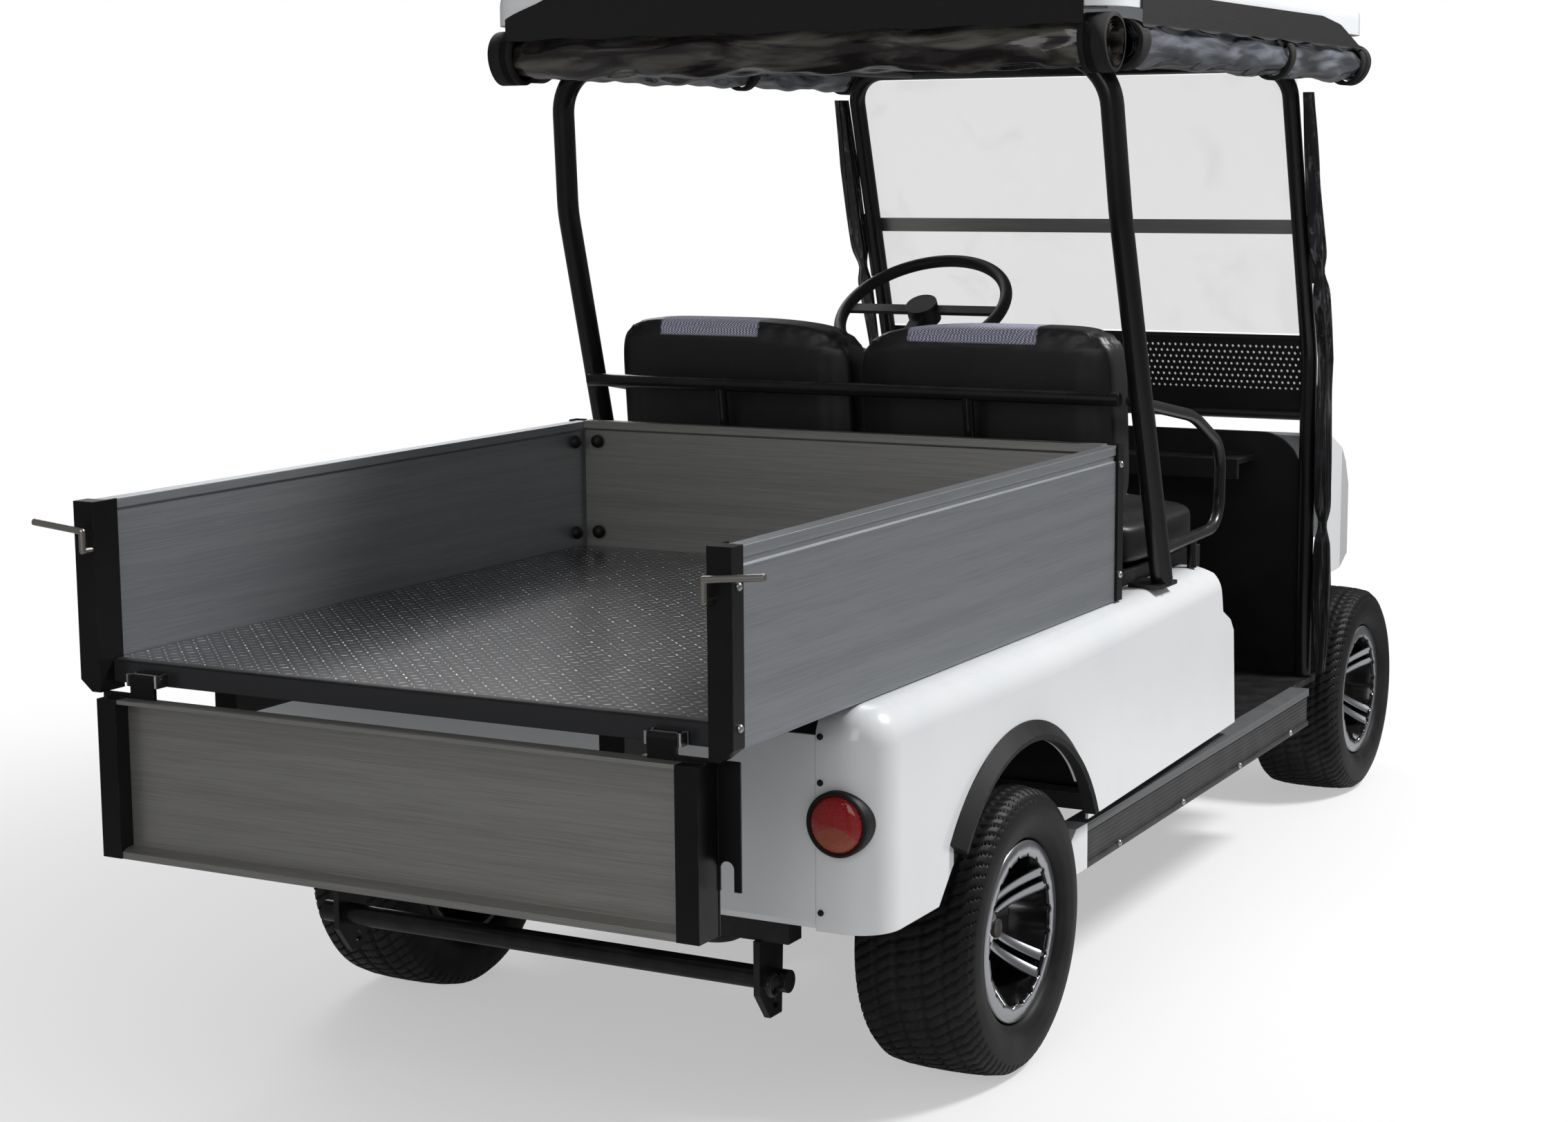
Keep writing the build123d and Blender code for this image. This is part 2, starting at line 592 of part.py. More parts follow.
def tail_lamp(side):
    """Round tail lamp: housing let into the corner, with a domed lens."""
    x, rear, dome = side * LAMP_X, BODY_REAR_Y - 9, 120.0
    lens = rod((x, rear, LAMP_Z), (x, rear - 8, LAMP_Z), LAMP_RADIUS - 3)
    lens &= Pos(x, rear - 8 + dome, LAMP_Z) * Sphere(dome)
    return tidy(lamp_cup(side, LAMP_RADIUS) + lens)


def rear_body():
    """Fenders, rear panel, flares, mudguards and tail lamps."""
    for side, name in SIDES:
        write(f"fender_{name}", fender(side))
    write("rear_panel", rear_panel())
    write("arch_flares", group([arch_flare(-1), arch_flare(1)]))
    write("mudguards", group([mudguard(-1), mudguard(1)]))
    write("tail_lamps", group([tail_lamp(-1), tail_lamp(1)]))


# Cargo box

def wall_section(outer_x, inner_x, low, high):
    """Extruded side wall section: shallow groove near the top and a flange at the foot."""
    return Polyline(
        (outer_x, low), (outer_x, high - 26), (outer_x - 3, high - 24), (outer_x - 3, high - 16),
        (outer_x, high - 14), (outer_x, high), (inner_x, high), (inner_x, high - 14),
        (inner_x + 5, high - 18), (inner_x + 5, low), close=True)


def side_wall(side):
    """Aluminium side wall of the box, from the rear post to the front corner strip."""
    section = make_face(wall_section(BOX_HALF - 1, BOX_HALF - WALL_THICK, WALL_BOTTOM, BOX_TOP - 2))
    rear, front = BOX_REAR_Y + POST_DEPTH, BOX_FRONT_Y - 9
    wall = extrude(Plane.XZ.offset(-rear) * section, rear - front)
    if side < 0:
        wall = mirror(wall, Plane.YZ)
    return wall


def front_wall():
    """Aluminium front wall of the box, between the two side walls."""
    half = BOX_HALF - WALL_THICK - SEAT_CLEAR
    y1, y0 = BOX_FRONT_Y - 4, BOX_FRONT_Y - WALL_THICK
    outline = ((y0 + 5, BOX_FLOOR_TOP), (y0 + 5, BOX_TOP - 18), (y0, BOX_TOP - 14), (y0, BOX_TOP), (y1, BOX_TOP),
               (y1, WALL_BOTTOM - 2), (y1 - 18, WALL_BOTTOM - 2), (y1 - 18, BOX_FLOOR_TOP))
    return side_plate(outline, -half, half)


def hinge_pin(side):
    """Hinge pin behind the rear beam, held by a pair of lugs."""
    centre = side * HINGE_X
    pin = rod((centre - 30, HINGE_Y, HINGE_Z), (centre + 30, HINGE_Y, HINGE_Z), HINGE_PIN_RADIUS)
    for end in (-1, 1):
        x0 = centre + end * 26 - 3
        pin += span(x0, x0 + 6, HINGE_Y - 9, FLOOR_REAR_Y, HINGE_Z - 9, HINGE_Z + 9)
    return pin


def cargo_floor():
    """Tread plate floor on its aluminium edge frame, with the rear beam that carries the hinges."""
    half = BOX_HALF - WALL_THICK - SEAT_CLEAR
    low = BOX_FLOOR_TOP - FLOOR_DEPTH
    rear, front = FLOOR_REAR_Y, BOX_FRONT_Y - WALL_THICK - 1
    floor = span(-half, half, rear, front, low, BOX_FLOOR_TOP)
    floor -= span(-half + 30, half - 30, rear + 34, front - 30, low - 1, BOX_FLOOR_TOP - 5)
    for y in (-400.0, -60.0, 280.0):
        floor += span(-half + 30, half - 30, y - 12, y + 12, low, BOX_FLOOR_TOP - 5)
    for side in (-1, 1):
        lo, hi = sorted((side * (BOX_HALF + 1 - POST_WIDTH - SEAT_CLEAR), side * (half + 1)))
        floor -= span(lo, hi, rear - 1, BOX_REAR_Y + POST_LAP + SEAT_CLEAR, low - 1, BOX_FLOOR_TOP + 1)
        floor += hinge_pin(side)
    return tidy(floor)


def rear_post(side):
    """Black post round the rear end of a side wall, open towards the front."""
    outer, inner = BOX_HALF + 1, BOX_HALF + 1 - POST_WIDTH
    rear, low = BOX_REAR_Y, WALL_BOTTOM - 14
    web = rear + POST_DEPTH - SEAT_CLEAR
    outline = Polyline(
        (outer, rear), (inner, rear), (inner, rear + POST_LAP), (inner + 4, rear + POST_LAP), (inner + 4, web),
        (outer, web), close=True)
    post = extrude(Plane.XY.offset(low) * make_face(outline), BOX_TOP - low)
    corner = Polyline((outer + 1, low - 1), (outer + 1, low + 18), (outer - 22, low - 1), close=True)
    post -= extrude(Plane.XZ.offset(-rear - 60) * make_face(corner), 80)
    if side < 0:
        post = mirror(post, Plane.YZ)
    return tidy(post)


def corner_strips():
    """Black angle strips over the two front corners of the box."""
    end = BOX_FRONT_Y - 9 + SEAT_CLEAR
    face = BOX_HALF - 1 + SEAT_CLEAR
    strip = span(BOX_HALF - WALL_THICK + 6, face + 4, end, end + 4, WALL_BOTTOM, BOX_TOP + 1)
    strip += span(face, face + 4, end - 21, end + 4, WALL_BOTTOM, BOX_TOP + 1)
    strip = tidy(strip)
    return group([mirror(strip, Plane.YZ), strip])


def latch_rods():
    """L shaped locking rods: a stem out of the rear post, a knee and an arm that points outward."""
    pieces = []
    for side in (-1, 1):
        x, back = side * SLOT_X, BOX_REAR_Y - 18
        places = ((x, BOX_REAR_Y, 868.0), (x, back, 868.0), (x, back, 897.0), (x + side * 90, back - 2, 906.0))
        bar = rod(places[0], places[1], ROD_RADIUS)
        for start, end in zip(places[1:], places[2:]):
            bar += rod(start, end, ROD_RADIUS) + Pos(*start) * Sphere(ROD_RADIUS)
        pieces.append(tidy(bar))
    return group(pieces)


def gate_panel():
    """Tailgate skin, hanging: recessed sheet with a lip along its hinge side and its free side."""
    top = HINGE_Z - GATE_GAP
    low = top - GATE_HEIGHT
    face = GATE_FACE_Y
    sheet_rear, sheet_front = face + 26, face + 32
    outline = ((face + 2, top), (face + 2, top - 6), (sheet_rear, top - 6), (sheet_rear, low + 16),
               (face + 10, low + 14), (face + 2, low + 10), (face + 2, low), (sheet_front, low), (sheet_front, top))
    half = GATE_HALF - CHANNEL_FACE - SEAT_CLEAR
    return side_plate(outline, -half, half)


def gate_channels():
    """Black end channels of the tailgate with slotted lock flanges, and the hinge barrels."""
    top = HINGE_Z - GATE_GAP
    low = top - GATE_HEIGHT
    face, back = GATE_FACE_Y, GATE_FACE_Y + CHANNEL_DEPTH
    pieces = []
    for side in (-1, 1):
        outer, inner = GATE_HALF, GATE_HALF - CHANNEL_FACE
        outline = Polyline(
            (inner, face), (outer, face), (outer, back - FLANGE_THICK), (outer + FLANGE_OUT, back - FLANGE_THICK),
            (outer + FLANGE_OUT, back), (outer - 4, back), (outer - 4, face + 34), (inner, face + 34), close=True)
        channel = extrude(Plane.XY.offset(low) * make_face(outline), top - low)
        channel -= span(outer + 1, outer + FLANGE_OUT + 1, back - 10, back + 1, low - 1, low + 62)
        channel -= span(SLOT_X - SLOT_HALF, SLOT_X + SLOT_HALF, back - 10, back + 1, low + 50, low + 92)
        channel -= Pos(SLOT_X, back, low + 92) * Rot(90, 0, 0) * Cylinder(SLOT_HALF, 12)
        barrel = rod((HINGE_X - 22, HINGE_Y, HINGE_Z), (HINGE_X + 22, HINGE_Y, HINGE_Z), 9.5)
        strap_rear, strap_front, strap_low = HINGE_Y - 9.5, HINGE_Y - 3, top + SEAT_CLEAR
        channel += barrel + span(HINGE_X - 22, HINGE_X + 22, strap_rear, strap_front, strap_low, HINGE_Z)
        channel += span(HINGE_X - 22, outer, strap_rear, strap_front, strap_low, top + 7)
        channel += span(inner, outer, strap_rear, strap_front, top - 10, top + 7)
        channel -= rod((HINGE_X - 40, HINGE_Y, HINGE_Z), (HINGE_X + 40, HINGE_Y, HINGE_Z),
                       HINGE_PIN_RADIUS + RUNNING_FIT)
        solid = tidy(channel)
        pieces.append(solid if side > 0 else mirror(solid, Plane.YZ))
    return group(pieces)


def cargo_box():
    """Floor, walls, posts, locking rods and the hanging tailgate."""
    write("cargo_floor", cargo_floor())
    write("cargo_wall_front", front_wall())
    for side, name in SIDES:
        write(f"cargo_wall_{name}", side_wall(side))
        write(f"rear_post_{name}", rear_post(side))
    write("corner_strips", corner_strips())
    write("latch_rods", latch_rods())
    write("tailgate_panel", gate_panel())
    write("tailgate_channels", gate_channels())


# Roof, its hoop, pillars and screen

def screen_y(z):
    """Place of the windscreen plane at a height."""
    return SCREEN_BAR_Y - SCREEN_RAKE * (z - SCREEN_BAR_Z)


def pillar_y(z):
    """Place of the front pillars' middle line, close behind the windscreen plane."""
    lean = math.sqrt(1 + SCREEN_RAKE ** 2)
    return screen_y(z) - (PILLAR_RADIUS + GLASS_THICK / 2 + SEAT_CLEAR) * lean


def rear_hoop():
    """Bent tube hoop behind the seats: two leaning legs on foot plates, joined under the roof."""
    legs = [HOOP_FOOT, HOOP_KNEE, (HOOP_TOP_X, HOOP_TOP_Y, HOOP_TOP_Z)]
    points = legs + [(-x, y, z) for x, y, z in reversed(legs)]
    hoop = pipe(points, [260, 95, 95, 260], HOOP_RADIUS)
    for side in (-1, 1):
        x, pad_x = side * (HOOP_FOOT_X - 14), side * 420
        hoop += span(x - 36, x + 28, 690, 768, BODY_TOP, BODY_TOP + 7)
        hoop += span(pad_x - 20, pad_x + 20, HOOP_TOP_Y - 26, HOOP_TOP_Y + 26, HOOP_TOP_Z, ROOF_TOP - 84)
    return tidy(hoop)


def front_pillars():
    """Two front pillars that rise from the floor, lean back with the screen and join on top."""
    low, knee = FLOOR_TOP, 1000.0
    knee_y, top_z = pillar_y(knee), HOOP_TOP_Z + 10
    top_y = pillar_y(top_z)
    legs = [(PILLAR_X, knee_y, low), (PILLAR_X, knee_y, knee), (PILLAR_X, top_y, top_z)]
    points = legs + [(-x, y, z) for x, y, z in reversed(legs)]
    frame = pipe(points, [200, 70, 70, 200], PILLAR_RADIUS)
    for side in (-1, 1):
        rail_x = side * RAIL_ROOF_X
        rail = rod((rail_x, HOOP_TOP_Y, HOOP_TOP_Z), (rail_x, top_y, top_z), 14)
        frame += rail - rod((-600, HOOP_TOP_Y, HOOP_TOP_Z), (600, HOOP_TOP_Y, HOOP_TOP_Z), HOOP_RADIUS + SEAT_CLEAR)
        frame += span(side * 400 - 20, side * 400 + 20, top_y - 60, top_y + 40, top_z, ROOF_TOP - 84)
    return tidy(frame)


def glass_pane(z0, z1, half):
    """Flat clear pane in the raked screen plane."""
    half_thick = GLASS_THICK / 2
    points = ((screen_y(z0) - half_thick, z0), (screen_y(z0) + half_thick, z0),
              (screen_y(z1) + half_thick, z1), (screen_y(z1) - half_thick, z1))
    return side_plate(points, -half, half)


def screen_bar():
    """Aluminium fold hinge between the panes, with a slotted black bracket at each pillar."""
    half = PILLAR_X + 8
    y, z = screen_y(SCREEN_BAR_Z), SCREEN_BAR_Z
    points = ((y + 3, z - 15), (y + 14, z - 15), (y + 8, z + 15), (y - 6, z + 15))
    bar = side_plate(points, -half, half)
    for side in (-1, 1):
        lo, hi = sorted((side * half, side * (half + 26)))
        plate = side_plate(((y - 9, z + 24), (y - 3, z + 24), (y + 40, z - 118), (y + 34, z - 118)), lo, hi)
        slot_lo, slot_hi = sorted((side * (half + 10), side * (half + 18)))
        plate -= span(slot_lo, slot_hi, y - 60, y + 60, z - 34, z + 6)
        bar += plate
    return tidy(bar)


def parcel_tray():
    """Perforated tray under the screen: raked back plate, floor and tubular rim."""
    half = PILLAR_X + 6
    low, high = 872.0, GLASS_BOTTOM - 4
    y_low, y_high = screen_y(low), screen_y(high)
    outline = ((y_low - 1.5, low), (y_low + 1.5, low), (y_high + 1.5, high), (y_high - 1.5, high))
    tray = side_plate(outline, -half, half)
    tray += rod((-half, y_low, low), (half, y_low, low), 11)
    tray += rod((-half, y_high + 6, high - 6), (half, y_high + 6, high - 6), 6)
    for side in (-1, 1):
        x = side * PILLAR_X
        tray += span(x - 10, x + 10, pillar_y(1000) + PILLAR_RADIUS, y_low + 4, low + 20, low + 32)
    return tidy(tray)


def roof_block(inset, low):
    """Rounded roof form, each outer face moved in by inset, down to a given height."""
    length, width = ROOF_FRONT_Y - ROOF_REAR_Y - 2 * inset, 2 * (ROOF_HALF - inset)
    outline = RectangleRounded(width, length, 95 - inset)
    middle = (ROOF_REAR_Y + ROOF_FRONT_Y) / 2
    block = Pos(0, middle, low) * extrude(outline, ROOF_TOP - inset - low)
    block = fillet(block.edges().group_by(Axis.Z)[-1], 56 - inset)
    crown_radius = 4200.0
    centre_z = ROOF_TOP - inset - crown_radius
    crown = rod((0, ROOF_REAR_Y - 50, centre_z), (0, ROOF_FRONT_Y + 50, centre_z), crown_radius)
    return block & crown


def roof_canopy():
    """Moulded white roof: crowned shell with a deep rim, open underneath."""
    shell = roof_block(0, ROOF_RIM_Z) - roof_block(ROOF_WALL, ROOF_RIM_Z - 5)
    for y in (HOOP_TOP_Y, 1100.0, pillar_y(HOOP_TOP_Z)):
        rib = span(-ROOF_HALF + 80, ROOF_HALF - 80, y - 26, y + 26, ROOF_TOP - 84, ROOF_TOP)
        shell += rib & roof_block(ROOF_WALL / 2, ROOF_RIM_Z)
    return tidy(shell)


def rear_roll():
    """Rear clear curtain rolled up, hung from the roof rim by its header band."""
    reach = ROLL_X + 24
    roll = rod((-reach, ROLL_REAR_Y, ROLL_Z), (reach, ROLL_REAR_Y, ROLL_Z), ROLL_RADIUS)
    band_y = ROOF_REAR_Y + 2
    return tidy(roll + span(-reach + 60, reach - 60, band_y, band_y + 5, ROLL_Z, ROOF_RIM_Z - SEAT_CLEAR))


def side_roll(side):
    """Side clear curtain rolled up, hung from the roof rim by its header band."""
    rear, front, x = ROLL_REAR_Y + ROLL_RADIUS + 6, ROOF_FRONT_Y - 26, side * ROLL_X
    roll = rod((x, rear, ROLL_Z), (x, front, ROLL_Z), SIDE_ROLL_RADIUS)
    band_lo, band_hi = sorted((side * (ROOF_HALF - 7), side * (ROOF_HALF - 2)))
    return tidy(roll + span(band_lo, band_hi, rear, front - 80, ROLL_Z, ROOF_RIM_Z - SEAT_CLEAR))


def furled_curtain(side):
    """Front door curtain gathered and strapped along the outside of the front pillar."""
    places = ((ROOF_TOP - FURL_DROP, 20.0, 24.0), (1180.0, 18.0, 21.0), (880.0, 15.0, 18.0), (560.0, 20.0, 23.0),
              (SILL_TOP + 6, 12.0, 12.0))
    sections = []
    for z, half_x, half_y in places:
        x = side * (PILLAR_X + PILLAR_RADIUS + half_x + 2 * SEAT_CLEAR)
        sections.append(Pos(x, pillar_y(max(z, 1000)) - 6, z) * Ellipse(half_x, half_y))
    return loft(sections, ruled=True)


def roof():
    """Hoop, pillars, screen, tray, canopy and curtains."""
    write("rear_hoop", rear_hoop())
    write("front_pillars", front_pillars())
    write("screen_panes", group([
        glass_pane(GLASS_BOTTOM, SCREEN_BAR_Z - 15.5, PILLAR_X + 8),
        glass_pane(SCREEN_BAR_Z + 15.5, GLASS_TOP, PILLAR_X + 8)]))
    write("screen_bar", screen_bar())
    write("parcel_tray", parcel_tray())
    write("roof_canopy", roof_canopy())
    write("curtain_roll_rear", rear_roll())
    for side, name in SIDES:
        write(f"curtain_roll_{name}", side_roll(side))
        write(f"furled_curtain_{name}", furled_curtain(side))


# Seats

def seat_base():
    """Pedestal under the bench: front, back and side panels round the battery, open on top."""
    half, wall = BODY_INNER_X - 6, 6.0
    rear, front = CAB_REAR_Y + 46, BODY_FRONT_Y - 20
    top = CUSHION_TOP - CUSHION_THICK
    base = span(-half, half, rear, front, FLOOR_TOP, top)
    base -= span(-half + wall, half - wall, rear + wall, front - wall, FLOOR_TOP - 1, top - wall)
    base -= span(-half + 60, half - 60, rear + 60, front - 60, top - wall - 1, top + 1)
    return tidy(base)


def seat_cushion():
    """Bench cushion, plain closed form."""
    low = CUSHION_TOP - CUSHION_THICK + SEAT_CLEAR
    pad = span(-SEAT_HALF, SEAT_HALF, CUSHION_REAR_Y, CUSHION_FRONT_Y, low, CUSHION_TOP)
    return fillet(pad.edges().group_by(Axis.Z)[-1], 28)


def seat_back(side):
    """One backrest, leaning back, with a humped top."""
    outline = ((BACK_REAR_Y + BACK_LEAN, BACK_BOTTOM), (BACK_REAR_Y + BACK_LEAN + BACK_THICK, BACK_BOTTOM),
               (BACK_REAR_Y + BACK_THICK - 20, BACK_TOP), (BACK_REAR_Y, BACK_TOP))
    lo, hi = sorted((side * 10, side * SEAT_HALF))
    pad = side_plate(outline, lo, hi)
    return fillet(pad.edges().group_by(Axis.Z)[-1], 26)


def seat_frame():
    """Tube frame behind the bench with uprights, and a hip hoop at each side."""
    bar_z, bar_y = SEAT_BAR_Z, SEAT_BAR_Y
    reach = HOOP_TOP_X
    frame = rod((-reach + 2, bar_y, bar_z), (reach - 2, bar_y, bar_z), 12)
    for side in (-1, 1):
        x = side * 250
        frame += rod((x, bar_y, bar_z), (x, bar_y + 44, CUSHION_TOP - 60), 10)
        frame += rod((x, bar_y + 44, CUSHION_TOP - 60), (x, CAB_REAR_Y + 54, CUSHION_TOP - CUSHION_THICK - 20), 10)
        outer = side * (SEAT_HALF + 32)
        hoop = pipe([(outer, 640, 1004), (outer, 960, 950), (outer, 1112, 880), (outer, 1106, 728),
                     (outer, 790, 722)], [300, 70, 60], 11)
        foot = rod((outer, 960, 728), (outer, 960, BODY_TOP), 9)
        frame += hoop + foot
        leg = [side * HOOP_FOOT[0], *HOOP_FOOT[1:]], [side * HOOP_KNEE[0], *HOOP_KNEE[1:]]
        frame -= rod(*leg, HOOP_RADIUS + SEAT_CLEAR)
    base_top = CUSHION_TOP - CUSHION_THICK + SEAT_CLEAR
    return tidy(frame - span(-300, 300, 560, 760, FLOOR_TOP, base_top))


def seats():
    """Seat base, cushion, backs and their frame."""
    write("seat_base", seat_base())
    write("seat_cushion", seat_cushion())
    write("seat_backs", group([seat_back(-1), seat_back(1)]))
    write("seat_frame", seat_frame())


# Steering

def steering_plane():
    """Plane of the steering wheel; its normal points up and back at the driver."""
    tilt = math.radians(STEER_TILT)
    normal = (0, -math.sin(tilt), math.cos(tilt))
    return Plane(origin=(STEER_X, STEER_Y, STEER_Z), x_dir=(1, 0, 0), z_dir=normal)


def steering_wheel():
    """Rim, three spokes and hub bored for the shaft."""
    wheel = Torus(STEER_RADIUS, STEER_GRIP)
    wheel += Pos(0, 0, -8) * Cylinder(34, 44)
    for turn in (0, 180, 270):
        spoke = span(20, STEER_RADIUS, -13, 13, -6, 2)
        wheel += Rot(0, 0, turn) * spoke
    wheel -= Pos(0, 0, -20) * Cylinder(SHAFT_RADIUS + RUNNING_FIT, 40)
    return steering_plane() * tidy(wheel)


def steering_column():
    """Shaft and its outer tube, from the dash wall up to the wheel."""
    shaft = Pos(0, 0, -60) * Cylinder(SHAFT_RADIUS, 110)
    tube = Pos(0, 0, -370) * Cylinder(24, 600)
    column = steering_plane() * (shaft + tube)
    keep = span(STEER_X - 100, STEER_X + 100, 1000, DASH_Y - SEAT_CLEAR, FLOOR_TOP, 1400)
    return tidy(column & keep)


def steering():
    """Column and wheel."""
    write("steering_column", steering_column())
    write("steering_wheel", steering_wheel())


# Front cowl, bumper and lamps

def cowl_block(inset):
    """Full block of the nose: plan outline tapering forward, top falling to the front."""
    rear, front = DASH_Y + DASH_THICK, COWL_FRONT_Y - inset
    wide, narrow = COWL_HALF_REAR - inset, COWL_HALF_FRONT - inset
    outline = Polyline(
        (-wide, rear), (wide, rear), (wide - 8, rear + 170), (wide - 60, rear + 400), (narrow, front),
        (-narrow, front), (-wide + 60, rear + 400), (-wide + 8, rear + 170), close=True)
    block = extrude(Plane.XY.offset(FLOOR_TOP - 60) * make_face(outline), 620)
    corners = block.edges().filter_by(Axis.Z)
    nose = [edge for edge in corners if edge.center().Y > front - 1]
    block = fillet(nose, 150)
    profile = Polyline(
        (rear - 1, DASH_TOP - inset), (rear + 60, DASH_TOP - inset - 6), (rear + 300, DASH_TOP - inset - 92),
        (rear + 500, DASH_TOP - inset - 215), (front + 2, DASH_TOP - inset - 330), (front + 2, 200),
        (rear - 1, 200), close=True)
    cut = extrude(Plane.YZ.offset(-700) * make_face(profile), 1400)
    return block & cut


def front_cowl():
    """White moulded nose with its wheel openings, open underneath."""
    shell = cowl_block(0) - cowl_block(COWL_WALL)
    shell -= span(-700, 700, DASH_Y - 10, DASH_Y + 18, 200, DASH_TOP - 120)
    shell -= span(-700, 700, DASH_Y - 10, 3000, 200, FLOOR_TOP)
    for side in (-1, 1):
        lo, hi = sorted((side * 196, side * 700))
        shell -= span(lo, hi, DASH_Y - 20, COWL_FRONT_Y - 2, 200, COWL_LIP_Z)
        shell -= span(lo, hi, COWL_FRONT_Y - 120, COWL_FRONT_Y + 20, 200, COWL_LIP_Z - 60)
    return sorted(shell.solids(), key=lambda piece: piece.volume)[-1]


def front_bumper():
    """Black front bumper bar on two brackets from the frame rails."""
    bar = span(-330, 330, BUMPER_FRONT_Y - 40, BUMPER_FRONT_Y, 250, 350)
    bar = fillet(bar.edges().filter_by(Axis.Z), 18)
    for side in (-1, 1):
        x = side * RAIL_X
        bar += span(x - 18, x + 18, FRAME_FRONT_Y, BUMPER_FRONT_Y - 39, RAIL_TOP_FRONT - 50, RAIL_TOP_FRONT - 10)
    return tidy(bar)


def headlamps():
    """Round headlamp at each side of the nose."""
    y, z = COWL_FRONT_Y, 450.0
    return [rod((x, y - 30, z), (x, y + 8, z), 62) for x in (-235.0, 235.0)]


def front_end():
    """Cowl, bumper and headlamps."""
    cowl = front_cowl()
    lamps = headlamps()
    for lamp in lamps:
        cowl -= lamp
    write("front_cowl", sorted(cowl.solids(), key=lambda piece: piece.volume)[-1])
    write("front_bumper", front_bumper())
    write("headlamps", group(lamps))


if __name__ == "__main__":
    os.makedirs("parts", exist_ok=True)
    wheels()
    running_gear()
    cab()
    rear_body()
    cargo_box()
    roof()
    seats()
    steering()
    front_end()
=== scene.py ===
"""Looks of a small electric utility cart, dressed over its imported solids.

Metres, +Y forward, +X right, +Z up.  Rigid pieces keep their solids and get a finish here;
tyres, rims, seats, curtains, lamps and small fittings are surfaces worked out in this script.
"""
import json
import logging
import math
from dataclasses import dataclass
from enum import Enum
from functools import cache, partial
from typing import Callable, Sequence

import bpy
import numpy as np
from mathutils import Matrix, Vector


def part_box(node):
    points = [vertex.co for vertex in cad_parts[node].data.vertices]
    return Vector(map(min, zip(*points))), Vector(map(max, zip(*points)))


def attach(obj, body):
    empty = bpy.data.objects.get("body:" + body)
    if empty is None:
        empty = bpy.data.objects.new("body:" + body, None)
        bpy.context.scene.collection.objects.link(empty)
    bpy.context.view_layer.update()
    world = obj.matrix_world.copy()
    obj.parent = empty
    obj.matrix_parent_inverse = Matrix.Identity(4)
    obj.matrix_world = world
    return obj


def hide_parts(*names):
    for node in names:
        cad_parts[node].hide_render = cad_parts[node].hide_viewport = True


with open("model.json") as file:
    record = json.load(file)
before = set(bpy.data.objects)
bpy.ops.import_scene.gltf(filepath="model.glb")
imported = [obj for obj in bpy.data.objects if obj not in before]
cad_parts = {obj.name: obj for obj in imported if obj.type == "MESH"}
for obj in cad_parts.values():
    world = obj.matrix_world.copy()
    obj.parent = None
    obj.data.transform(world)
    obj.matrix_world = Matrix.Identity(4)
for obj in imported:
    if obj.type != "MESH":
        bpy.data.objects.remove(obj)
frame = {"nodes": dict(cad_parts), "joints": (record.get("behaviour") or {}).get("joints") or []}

Socket = bpy.types.NodeSocket
Value = Socket | float | Sequence[float]
Colour = tuple[float, float, float]
Profile = tuple[tuple[float, float], ...]

log = logging.getLogger("cart")
NODES: dict[str, bpy.types.Object] = frame["nodes"]
JOINTS: dict[str, dict] = {joint["name"]: joint for joint in frame["joints"]}
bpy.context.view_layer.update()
ROOT = "cart"
AXLE_Y: float = JOINTS["wheel_rear_left_spin"]["pos_m"][1]
SIDES: tuple[tuple[int, str], ...] = ((-1, "left"), (1, "right"))
WHITE: Colour = (1.0, 1.0, 1.0)


class Effect(Enum):
    """Fine surface patterns that a finish can carry."""

    GRAIN = "moulded grain"
    STREAKS_X = "brushed along X"
    STREAKS_Y = "brushed along Y"
    TREAD_PLATE = "tread plate"
    WEAVE = "woven cloth"
    RIBS = "ribbed rubber"


# Node trees


